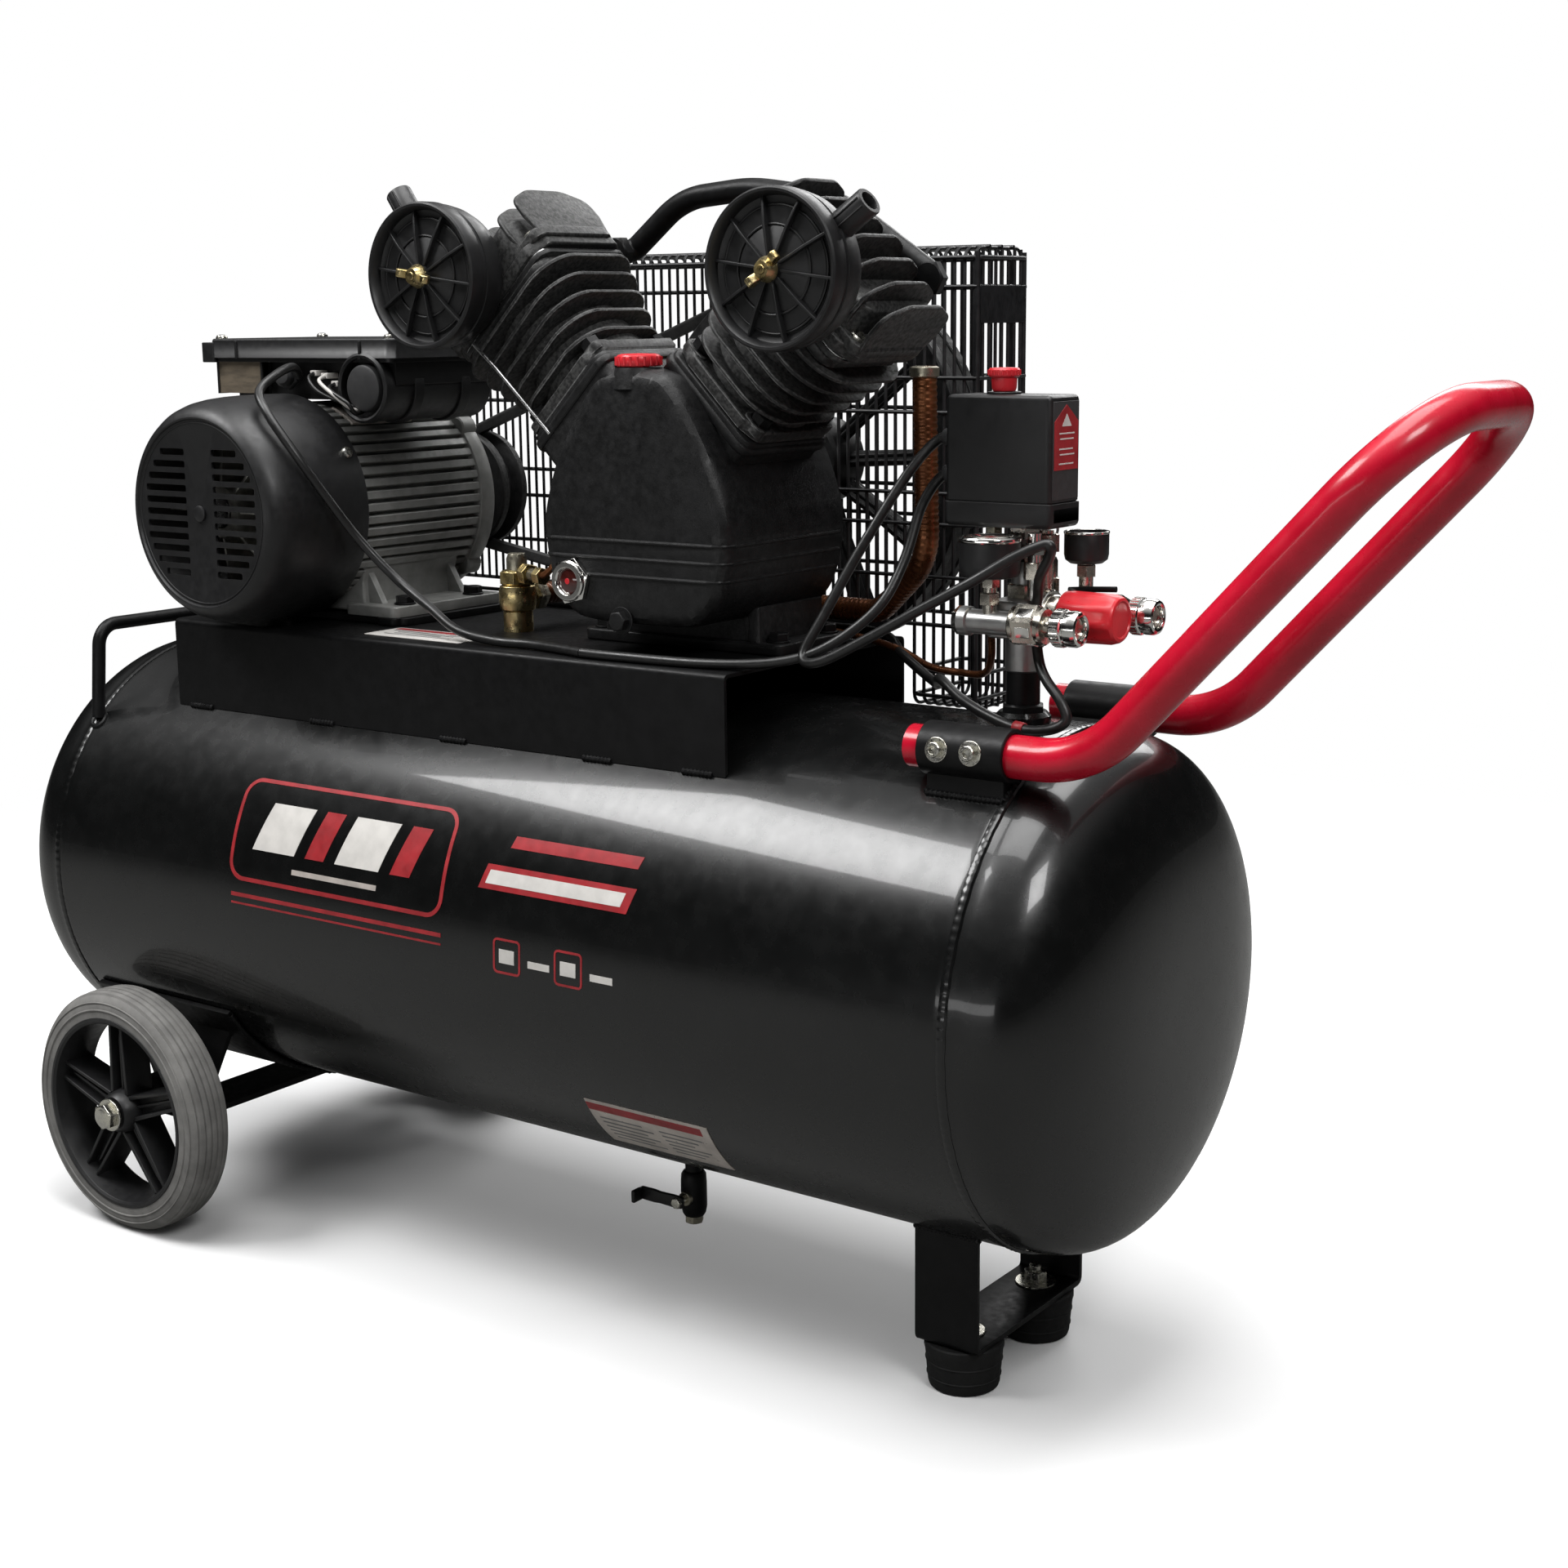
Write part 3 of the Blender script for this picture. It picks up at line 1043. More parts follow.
def build_rotor():
    # fan seen through the slots
    fan = Piece("fan_rotor", "black_plastic", BARE_ALU, body="rotor")
    fan.lathe([(13, -136), (20, -136), (23, -130), (24, -90), (70, -88), (72, -86),
               (72, -83), (13, -83)], MOTOR, 64, closed=True)
    blade = [(20, -134), (66, -129), (71, -126), (72, -87), (20, -87)]
    for i in range(8):
        at = place(MOTOR_X, 0, MOTOR_Z) @ spin("Y", i * 45)
        fan.prism(blade, -1.2, 1.2, at=at, edge=0.5)
    fan.build(smooth=34, replaces="motor_fan")

    pulley = Piece("motor_pulley_visual", "iron", FIN, ZINC, body="rotor")
    at = place(MOTOR_X, BELT_Y, MOTOR_Z, "y")
    pulley.lathe([(12.6, -17), (20, -17), (21, -15), (47.5, -15), (49, -13.6), (49, -8.3),
                  (48, -7.4), (38.6, -5.6), (38.6, 5.6), (48, 7.4), (49, 8.3), (49, 13.6),
                  (47.5, 15), (22, 15), (20, 19), (12.6, 19)], at, 96, closed=True)
    pulley.cap_screw(place(MOTOR_X, BELT_Y + 17.2, MOTOR_Z + 16, "y"), 4, ZINC, height=2.5)
    pulley.lathe([(12.4, -16), (12.4, 20.5), (11.4, 21.4), (0, 21.6)], at, 40, ZINC)
    pulley.build(smooth=32, replaces="motor_pulley")


def build_terminal_box():
    """Lid over an open wiring bay that also holds a capacitor housing."""
    lid = Piece("terminal_lid", "black_plastic", PLASTIC, ZINC)
    lid.prism(round_rect(-241.5, 3, 103.5, 63, 7, 5), 703.5, 719, edge=2.2, base_edge=0.4)
    lid.prism(round_rect(-241.5, 3, 101, 60.5, 6, 5), 700.5, 704)
    for x in (-312, -171):
        lid.box(x - 1.2, x + 1.2, -61, -59.2, 703, 717)
    lid.prism(round_rect(-346.5, -54, 7.5, 6.5, 2, 4), 700, 716, edge=0.8)
    for x in (-338, -146):
        for y in (-52, 58):
            lid.pan_screw(place(x, y, 719), 5, ZINC)
    lid.build(bevel=0.4, smooth=32, replaces="terminal_box")

    bay = Piece("terminal_bay", "black_plastic", PLASTIC, TAN_BOARD, MARK_WHITE, ZINC, CHARCOAL)
    bay.prism(round_rect(-262, 6, 70, 50, 4, 4), 671, 701)
    bay.prism(round_rect(-315, -51.5, 27, 3.2, 0.8, 3), 675.5, 701, mat=TAN_BOARD)
    for x in (-341, -289):
        bay.box(x - 1, x + 1, -55.5, -46, 675, 702)
    # round capacitor housing with its end towards the operator
    r = 27
    at = place(-170, 0, 681, "y")
    bay.lathe([(0, -49), (r - 4, -49), (r - 4, -60.4), (r - 2, -61.4), (r, -60), (r, -52),
               (r - 0.8, -50), (r - 0.8, 56), (r - 3, 59), (0, 59)], at, 72)
    bay.lathe([(0, -60.5), (15.5, -60.5), (17.5, -59.4), (18.2, -57), (18.2, -46), (0, -46)],
              at, 48, CHARCOAL)
    for h in (-30, 22):
        bay.ring(r + 0.9, r - 1.2, h, h + 10, at, 64, edge=0.4)
    bridge = [(-197, 683), (-143, 683), (-143, 704), (-197, 704)]
    bay.prism(round_poly(bridge, 1.5, 3), -50, 57, "xz")
    # cable gland and push-on connectors
    gland = place(-262, -50, 688, (0.35, -1, 0.1))
    bay.hexagon(17, 0, 6, gland, CHARCOAL)
    bay.lathe([(7.4, 5), (7.4, 11), (5.6, 14), (4.2, 14.4), (0, 14.4)], gland, 24, CHARCOAL)
    connectors = ((-226, 692), (-214, 690), (-203, 684))
    for x, z in connectors:
        bay.prism(round_rect(x, z, 3.6, 2.2, 0.8, 3), -58, -46, "xz", MARK_WHITE, edge=0.4)
    bay.build(bevel=0.25, smooth=32)

    wires = Piece("bay_wires", "black_rubber", CABLE, MARK_WHITE)
    for i, (x, z) in enumerate(connectors):
        path = [(x, -57, z), (x + 3, -66, z - 4), (x + 16 + 4 * i, -68, z - 14),
                (-184 + 4 * i, -62, 668 - 3 * i), (-176, -50, 664)]
        wires.tube(smooth_path(path, 8), 1.5, 10, MARK_WHITE if i == 1 else CABLE)
    # cable from the bay down to the deck
    cable = [(-244, -56, 690), (-232, -74, 697), (-222, -100, 692), (-215, -124, 680),
             (-196, -134, 664), (-172, -130, 634), (-160, -113, 602), (-148, -92, 568),
             (-122, -80, 538), (-82, -84, 518), (-48, -92, 505), (-10, -94, 500.2),
             (24, -92, 499.8), (60, -98, 499.8), (84, -104, 499.8)]
    wires.tube(smooth_path(cable), 3.5)
    wires.build(smooth=60)


def build_motor():
    build_motor_body()
    build_motor_mount()
    build_motor_shield()
    build_fan_cowl()
    build_rotor()
    build_terminal_box()


# ------------------------------------------------------------------ pump
# crankcase stations: (half width, z)
CASE_HALF = [(0, 519), (40, 519.5), (58, 524), (73, 539), (81, 560), (84, 584), (82, 603),
             (71, 634), (55, 663), (40, 684), (26, 695), (0, 698)]
CAVITY_HALF = [(0, 524), (42, 524), (52, 529), (62, 549), (70, 568), (72, 584), (70, 600),
               (58.5, 632), (43, 659), (30, 678), (20, 687), (0, 690)]
CASE_OUTLINE = mirrored(CASE_HALF, CASE_X)
CRANK = place(CRANK_X, 0, CRANK_Z, "y")
FILLER_Y, BREATHER_Y = -67, 22


def bank_frame(side):
    """Frame on the crank axis, +Z up the leaning cylinder."""
    lean, y = BANKS[side]
    return place(CRANK_X, 0, CRANK_Z) @ spin("Y", lean) @ place(0, y, 0)


def build_crankcase():
    case = Piece("crankcase_visual", "black_casting", CAST, FIN)
    case.prism(smooth_loop(CASE_OUTLINE, 5), -85, 58, "xz", edge=0.8, base_edge=11)
    # three raised lines that run across the front and round both sides
    for z in (578.5, 566.2, 553.6):
        w = np.interp(z, [h for _, h in CASE_HALF], [x for x, _ in CASE_HALF])
        half = [(w + 0.2, 54), (w + 0.2, -74), (w - 3, -81.5), (w - 11, -85.1)]
        path = [(CASE_X - x, y, z) for x, y in half]
        path += [(CASE_X + x, y, z) for x, y in reversed(half)]
        case.tube(fillet(path, 4, 4), 1.35, 8)
    # cylinder pads with a rolled flange
    for side in BANKS:
        at = bank_frame(side)
        case.prism(round_rect(0, 0, 46, 50, 9, 6), 34, 80, at=at, edge=1.4)
        case.prism(round_rect(0, 0, 48, 52, 10, 6), 69, 76.5, at=at, edge=2.4)
    # necks under the filler and breather, base plate and feet
    case.lathe([(20, 684), (18, 694), (16.5, 698.5), (0, 698.5)],
               place(CRANK_X, FILLER_Y, 0), 40)
    case.lathe([(16, 680), (14, 694), (12, 702.4), (0, 702.4)],
               place(CRANK_X, BREATHER_Y, 0), 40)
    case.prism(round_rect(CRANK_X, 16, 92, 44, 8, 5), DECK_Z + 0.3, DECK_Z + 8.5, edge=1.4)
    case.prism(round_rect(CRANK_X, 18, 66, 40, 10, 5), DECK_Z + 7, 532, edge=2)
    for x in (CRANK_X - 66, CRANK_X + 66):
        case.prism(round_rect(x, 14, 5, 40, 2, 3), DECK_Z + 6, 530, edge=1.5)
    ob = case.build(bevel=0.3, smooth=36, replaces="crankcase")

    tool = Piece("cutter", None)
    tool.prism(mirrored(CAVITY_HALF, CRANK_X), -77, 66, "xz")
    for side in BANKS:
        tool.rod(36.5, 10, 88, bank_frame(side), 48)
    for y in (FILLER_Y, BREATHER_Y):
        tool.rod(8.3, 680, 716, place(CRANK_X, y, 0), 28)
    cut(ob, tool, smooth=36)


def build_case_fittings():
    fittings = Piece("case_fittings", "black_casting", CAST, ZINC, RED_GLASS, SATIN)
    fittings.hexagon(13, 0.6, 7.4, place(106, -84.4, 522, "-y"), turn=10)
    fittings.ring(10, 5, 0, 1.2, place(106, -84.6, 522, "-y"), 32, edge=0.2)
    for x in (CRANK_X - 80, CRANK_X + 80):
        for y in (-14, 46):
            fittings.bolt(place(x, y, DECK_Z + 8.4), 8, SATIN, turn=x + y)
    fittings.build(bevel=0.3, smooth=34)

    sight = Piece("sight_glass_visual", "chrome", CHROME, RED_GLASS, RED_PLASTIC)
    at = place(61, -85.2, 548, "-y")
    sight.hexagon(30, 0, 4.4, at, turn=14)
    sight.lathe([(14.6, 4.2), (14.6, 6.0), (13.6, 7.0), (10.2, 7.0), (9.2, 5.8), (9.2, 3),
                 (14.6, 3)], at, 56, closed=True)
    sight.lathe([(9.2, 2.6), (9.2, 4.4), (7, 5.3), (3, 5.8), (0, 5.9)], at, 48, RED_GLASS)
    sight.lathe([(2.2, 5.3), (2.2, 6.0), (0, 6.1)], at, 20, RED_PLASTIC)
    sight.build(bevel=0.2, smooth=34, replaces="sight_glass")

    cap = Piece("oil_cap_visual", "red_plastic", RED_PLASTIC, body="oil_cap")
    cap.lathe([(7.6, 687), (7.6, 699.2), (15.2, 699.2), (16, 700.4), (16, 705.2),
               (14.8, 707), (12, 707.8), (0, 708.2)], place(CRANK_X, FILLER_Y, 0), 56)
    cap.knurl(20, CRANK_X, FILLER_Y, 15.9, 0.9, 700, 706)
    cap.build(smooth=34, replaces="oil_filler_cap")

    breather = Piece("breather_cap_visual", "yellow_plastic", YELLOW, body="breather")
    breather.lathe([(7.6, 687), (7.6, 703.2), (12.6, 703.2), (13.4, 704.4), (13.4, 710.4),
                    (12.2, 712.6), (0, 713.8)], place(CRANK_X, BREATHER_Y, 0), 48)
    breather.knurl(16, CRANK_X, BREATHER_Y, 13.3, 0.8, 704.2, 711)
    breather.build(smooth=34, replaces="breather_cap")


def build_bearing_carrier():
    """Belt-side cover of the crankcase."""
    carrier = Piece("bearing_carrier_visual", "black_casting", CAST, ZINC)
    centre_z, shrink = 607, 0.92
    outline = smooth_loop([(CRANK_X + (x - CASE_X) * shrink + 1,
                            centre_z + (z - centre_z) * shrink) for x, z in CASE_OUTLINE], 4)
    carrier.prism(outline, 58.3, 67.5, "xz", edge=2, base_edge=0.3)
    carrier.lathe([(16.2, 60), (40, 60), (38, 70), (34, 76), (33, 82), (31, 84), (16.2, 84)],
                  CRANK, 64, closed=True)
    for i in range(8):
        at = place(CRANK_X, 0, CRANK_Z) @ spin("Y", -degrees(radians(22.5 + 45 * i)))
        carrier.prism([(30, 66), (58, 66), (30, 80)], -2, 2, at=at, edge=0.5)
    centre = Vector((CRANK_X + 1, centre_z))
    for i in range(0, len(outline), len(outline) // 10):
        out = Vector(outline[i]) - centre
        seat = centre + out * (1 - 8 / out.length)
        carrier.bolt(place(seat.x, 67.4, seat.y, "y"), 5.5, ZINC, turn=i * 7)
    ob = carrier.build(bevel=0.3, smooth=34, replaces="bearing_carrier")
    tool = Piece("cutter", None)
    tool.rod(15.6, 50, 120, CRANK, 40)
    cut(ob, tool, smooth=34)


CORNERS = [(sx, sy) for sx in (-1, 1) for sy in (-1, 1)]


def build_cylinder(side):
    """Finned barrel on a bolted base flange."""
    bank = bank_frame(side)
    up = bank.to_3x3() @ Vector((0, 0, 1))
    barrel = Piece("cylinder_visual_" + side, "black_casting", FIN, ZINC, SATIN)
    barrel.rod(42, 86, 166, bank, 64)
    flange = [(-46, -40), (-30, -48), (30, -48), (46, -40), (46, 40), (30, 48), (-30, 48),
              (-46, 40)]
    barrel.prism(round_poly(flange, 8, 4), 80.3, 90, at=bank, edge=1.6)
    for i in range(5):
        z = 99 + i * 14
        fin = round_rect(0, 0, 47 + i * 4.2, 50 + i * 0.8, 30, 9)
        barrel.prism(fin, z - 0.2, z + 2.8, at=bank, edge=1.0)
    barrel.prism(round_rect(0, 0, 52, 46, 12, 6), 159, 166, at=bank, edge=1.2)
    for sx, sy in CORNERS:
        seat = bank @ Vector((sx * 35, sy * 36, 90))
        barrel.bolt(place(*seat, up), 8, SATIN, turn=sx * 11 + sy * 5, stud=3)
        boss = round_rect(sx * 35, sy * 36, 10, 9, 5, 5)
        barrel.prism(boss, 84, 91, at=bank, edge=1)
    ob = barrel.build(bevel=0.25, smooth=36, replaces="cylinder_" + side)
    tool = Piece("cutter", None)
    tool.rod(32.6, 74, 170, bank, 64)
    cut(ob, tool, smooth=36)


def build_head(side):
    """Tall plates over a deep body, thin plates below."""
    bank = bank_frame(side)
    up = bank.to_3x3() @ Vector((0, 0, 1))
    head = Piece("head_visual_" + side, "black_casting", FIN, ZINC, STEEL)
    head.prism(round_rect(0, 4, 56, 49, 12, 6), 166.3, 170.2, at=bank, edge=0.5)
    head.prism(round_rect(0, 4, 55, 48, 11, 6), 170.4, 171.2, mat=STEEL, at=bank)
    flange = [(-60, -34), (-46, -46), (46, -46), (60, -34), (60, 40), (44, 56), (-44, 56),
              (-60, 40)]
    head.prism(round_poly(flange, 6, 4), 171.4, 181, at=bank, edge=1.6)
    head.prism(round_rect(0, 0, 48, 42, 14, 6), 178, 211, at=bank, edge=5)
    head.prism(round_rect(0, 0, 63, 42, 10, 5), 178, 187, at=bank, edge=2)
    for i in range(-3, 4):
        x = i * 20
        top = 231 - abs(i) * 2.2
        w = 43 - 0.8 * abs(i)
        leaf = [(-w * 0.9, 178), (w * 0.9, 178), (w + 1, 198), (w, top - 10), (w - 22, top),
                (-w + 22, top), (-w, top - 10), (-w - 1, 198)]
        leaf = round_poly(leaf, [2, 2, 8, 16, 26, 26, 16, 8], 6)
        head.prism(leaf, x - 1.6, x + 1.6, "yz", at=bank, edge=1.1)
    for sx, sy in CORNERS:
        seat = bank @ Vector((sx * 50, sy * 36 + 3, 181))
        head.cap_screw(place(*seat, up), 8, ZINC, height=7, washer=True)
    # boss towards the filter
    head.rod(20, 0, 13, bank @ place(0, -40, 196, "-y"), 40, edge=1.5)
    ob = head.build(bevel=0.3, smooth=36, replaces="head_" + side)
    tool = Piece("cutter", None)
    tool.rod(27, 160, 173, bank, 48)
    cut(ob, tool, smooth=36)


def build_filter(side, x, z, snout_angle, wing_turn):
    """Round intake filter facing the operator, with a side snout and a wing nut."""
    can = Piece("filter_visual_" + side, "black_plastic", PLASTIC, CHARCOAL)
    at = place(x, 0, z, "y")
    can.lathe([
        (0, -114.6), (9, -114.6), (11, -113.4), (26, -112.8), (28, -111.4), (29.4, -111.2),
        (39.5, -110.4), (41, -109), (42.4, -108.8), (46.2, -110.4), (47.6, -116.6),
        (49, -118.2), (50.6, -118.4), (51.8, -117.4), (52.2, -114.6), (52.2, -106),
        (51.4, -104.8), (50.4, -104.6), (50.4, -101.4), (51.2, -101), (51.0, -97),
        (49.6, -89), (46.4, -80.6), (40, -74.4), (30, -71.4), (0, -71)], at, 128)
    rib = [(8, -113.6), (46.6, -108.8), (47.2, -112.8), (43, -114.2), (30, -116.4),
           (8, -117.2)]
    for i in range(10):
        can.prism(rib, -0.95, 0.95, at=place(x, 0, z) @ spin("Y", i * 36 + 8), edge=0.4)
    can.torus(28.6, 0.8, place(x, -112.0, z, "y"), 96, 8)
    can.torus(40.6, 0.8, place(x, -109.6, z, "y"), 96, 8)
    can.rod(17, -76, BANKS[side][1] - 38 - 12.4, at, 48)
    can.ring(20, 16, -66, -61, at, 48, CHARCOAL, edge=0.6)
    # snout out of the rim, with two thin raised lines
    a = radians(snout_angle)
    out = Vector((cos(a), 0, sin(a)))
    base = Vector((x, -93, z))
    can.lathe([(10.4, 40), (9.6, 52), (9.6, 72.6), (9.0, 73.6), (6.6, 73.6), (6.2, 72.8),
               (6.2, 58), (0, 58)], place(*base, out), 40)
    for shift in (-3.1, 3.1):
        offset = out.cross(Vector((0, 1, 0))) * shift + Vector((0, -9.3, 0))
        can.tube([base + out * 49 + offset, base + out * 72 + offset], 0.7, 8)
    can.build(smooth=34, replaces="filter_" + side)

    bolt = Piece("filter_bolt_" + side, "brass", BRASS)
    bolt.rod(3, -127.2, -112, at, 20, edge=0.4)
    bolt.build(smooth=34)

    nut = Piece("wing_nut_visual_" + side, "brass", BRASS, body=side + "_wing_nut")
    nut.lathe([(3.3, -119.3), (8.6, -119.3), (8.2, -121), (6.4, -124.4), (5.4, -126.4),
               (3.3, -126.4)], at, 36, closed=True)
    wing = [(4, -119.8), (13.5, -120.4), (16, -124.6), (13.8, -128), (10, -127.4),
            (5, -122.8)]
    for s in (-1, 1):
        outline = round_poly([(s * u, v) for u, v in wing], [0.5, 3, 2.6, 2.6, 2, 1], 5)
        nut.prism(outline, -3.0, 3.0, at=place(x, 0, z) @ spin("Y", wing_turn), edge=1.0)
    nut.build(bevel=0.25, smooth=36, replaces="wing_nut_" + side)


def build_crossover():
    """Pipe between the heads, with a hexagon at each end."""
    pipe = Piece("crossover_pipe_visual", "satin_black_metal", SATIN, GREY_BRASS)
    y = 45
    path = [(16, 24.6, 780), (16, y, 780), (66, y, 818), (130, y, 823), (204, y, 812),
            (287, y, 757), (287, 32.8, 757)]
    pipe.tube(fillet(path, [14, 70, 150, 110, 10], 14), 8.4, 28)
    pipe.hexagon(22, -1, 8, place(16, 24.8, 780, "y"), both=True)
    pipe.hexagon(22, -1, 7, place(287, 33, 757, "y"), both=True)
    pipe.build(bevel=0.2, smooth=36, replaces="crossover_pipe")


def build_pump():
    build_crankcase()
    build_case_fittings()
    build_bearing_carrier()
    for side in BANKS:
        build_cylinder(side)
        build_head(side)
    build_filter("left", -47.0, 763.0, snout_angle=125, wing_turn=12)
    build_filter("right", 262.0, 762.0, snout_angle=34, wing_turn=-40)
    build_crossover()


# ------------------------------------------------------------------ flywheel, belt and guard
def build_flywheel():
    wheel = Piece("flywheel_visual", "black_casting", CAST, ZINC, SATIN, body="crank")
    at = place(CRANK_X, BELT_Y, CRANK_Z, "y")
    wheel.lathe([(121, -18), (123, -20), (143.5, -20), (145, -18.6), (145, -8.4),
                 (144.2, -7.4), (134.4, -5.4), (134.4, 5.4), (144.2, 7.4), (145, 8.4),
                 (145, 16.6), (143.5, 18), (123, 18), (121, 16), (120, 0)],
                at, 160, closed=True)
    wheel.lathe([(15.6, -22), (31, -22), (33.5, -19), (35, -8), (35, 6), (33, 17),
                 (30, 19.6), (15.6, 19.6)], at, 72, closed=True)
    # each arm is a slanted blade with a rib
    blade = [(28, -9.5), (60, -7.6), (122, -10.5), (122, 10.5), (60, 7.6), (28, 9.5)]
    rib = [(28, -4.4), (123, -2.6), (123, 2.6), (28, 4.4)]
    for i in range(10):
        arm = place(CRANK_X, 0, CRANK_Z) @ spin("Y", -3 + 36 * i)
        arm = arm @ place(0, BELT_Y, 0) @ spin("X", 26)
        wheel.prism(round_poly(blade, 2, 4), -2.4, 2.4, at=arm, edge=1.1)
        wheel.prism(round_poly(rib, 1, 3), -5.5, 5.5, at=arm, edge=1.4)
    wheel.hexagon(22, 19.6, 30, at, ZINC, turn=9)
    wheel.ring(17, 8, 19.4, 22, at, 40, ZINC, edge=0.3)
    wheel.build(bevel=0.2, smooth=36, replaces="flywheel")


def build_belt():
    belt = Piece("v_belt", "black_rubber", BELT)
    dx, dz = CRANK_X - MOTOR_X, CRANK_Z - MOTOR_Z

    def loop(lift):
        big, small = 136 + lift, 40 + lift
        line = degrees(atan2(dz, dx))
        wrap = degrees(acos((big - small) / hypot(dx, dz)))
        return (arc(CRANK_X, CRANK_Z, big, line - 180 + wrap, line + 180 - wrap, 72)
                + arc(MOTOR_X, MOTOR_Z, small, line + 180 - wrap, line + 180 + wrap, 30))

    verts = []
    for lift, half_width in ((0.4, 4.2), (5.6, 6.1), (7.2, 6.5), (8.0, 6.1)):
        path = loop(lift)
        for side in (-1, 1):
            verts += [(x, BELT_Y + side * half_width, z) for x, z in path]
    k = len(path)
    faces = []
    order = [0, 2, 4, 6, 7, 5, 3, 1]    # rails in turn round the section
    for a, b in zip(order, order[1:] + order[:1]):
        for i in range(k):
            j = (i + 1) % k
            faces.append((a * k + i, a * k + j, b * k + j, b * k + i))
    belt.add(verts, faces)
    belt.build(smooth=50, replaces="drive_belt")


def build_guard():
    """Wire guard: spaced cross wires, horizontals round them and end posts."""
    guard = Piece("belt_guard_visual", "satin_black_metal", WIRE, ZINC)
    x0, x1, y0, y1, top_z = -318.0, 276.0, 118.6, 184.6, 779.6
    deck_z, low_z = DECK_Z + 8.0, 443.5     # the cage hangs lower beyond the deck
    open_x = 150                            # left of this the inner face is open
    wire, count = 1.35, 70
    for i in range(count):
        x = x0 + 3 + (x1 - x0 - 6) * i / (count - 1)
        top = [(x, y0, top_z), (x, y1, top_z)]
        if x < open_x:
            path, bend = [(x, y0, top_z - 9)] + top + [(x, y1, deck_z)], 6
        elif x > 221:
            middle = (low_z + top_z) / 2
            path = [(x, y0, middle)] + top + [(x, y1, low_z), (x, y0, low_z),
                                              (x, y0, middle - 0.5)]
            bend = 9
        else:
            path, bend = [(x, y0, deck_z)] + top + [(x, y1, deck_z)], 9
        guard.tube(fillet(path, bend, 4), wire, 6)
    # uprights in the end faces
    ends = ((x0, deck_z), (x1, low_z))
    for x, z in ends:
        for j in range(7):
            y = y0 + 6 + (y1 - y0 - 12) * j / 6
            guard.tube([(x, y, z), (x, y, top_z - 1)], wire, 6)

    thick, lift = 1.6, 1.8

    def hoop(z, xa, xb):
        middle, near, far = (xa + xb) / 2, y0 - lift, y1 + lift
        path = [(middle, near, z), (xb + lift, near, z), (xb + lift, far, z),
                (xa - lift, far, z), (xa - lift, near, z), (middle - 0.5, near, z)]
        guard.tube(fillet(path, 7, 5), thick, 8)

    hoop(772.5, x0, x1)
    for z in (752, 687, 662, 603, 580, 541, deck_z + 1):
        guard.tube([(x0, y1 + lift, z), (x1, y1 + lift, z)], thick, 8)
        guard.tube([(x0, y0, z), (x0, y1, z)], thick, 8)
        guard.tube([(x1, y0, z), (x1, y1, z)], thick, 8)
        guard.tube([(open_x, y0 - 1.2, z), (x1, y0 - 1.2, z)], 1.5, 8)
    guard.tube([(x0, y0 - 1.2, deck_z + 1), (x1, y0 - 1.2, deck_z + 1)], thick, 8)
    # plate at the top of the +X end
    guard.prism(round_rect(151, 739, 32, 13, 2, 3), x1 + 0.4, x1 + 1.6, "yz")
    for y in (y0 + 16, (y0 + y1) / 2, y1 - 16):
        guard.tube([(x0, y, top_z + 0.6), (x1, y, top_z + 0.6)], thick, 8)
        guard.tube([(224, y, low_z - 0.4), (x1, y, low_z - 0.4)], thick, 8)
    hoop(low_z + 8, 224, x1)
    hoop(470, 224, x1)
    for x, z in ((x0 + 1, deck_z), (x1 - 1, low_z)):
        for y in (y0, y1):
            guard.tube([(x, y, z), (x, y, top_z - 3)], 2.3, 10)
    # bolted straps to the deck
    strap = [(112.6, 470), (115.4, 470), (115.4, deck_z - 3), (y0 + 1, deck_z),
             (y0 + 1, deck_z + 3), (112.6, deck_z + 3)]
    for x in (-300, 180):
        guard.prism(round_poly(strap, 0.8, 3), x, x + 18, "yz")
        guard.bolt(place(x + 9, 115.4, 480, "y"), 6, ZINC)
    guard.build(smooth=50, replaces="belt_guard")


# ------------------------------------------------------------------ controls
RISER_X = 384
BUTTON = (369, -3)      # x, y
GAUGE = (378, -35)      # x, y
# couplers: side, branch y, branch z, x where the sleeve starts
COUPLERS = (("front", -34, 534, 427.0), ("rear", 31, 536, 449.0))


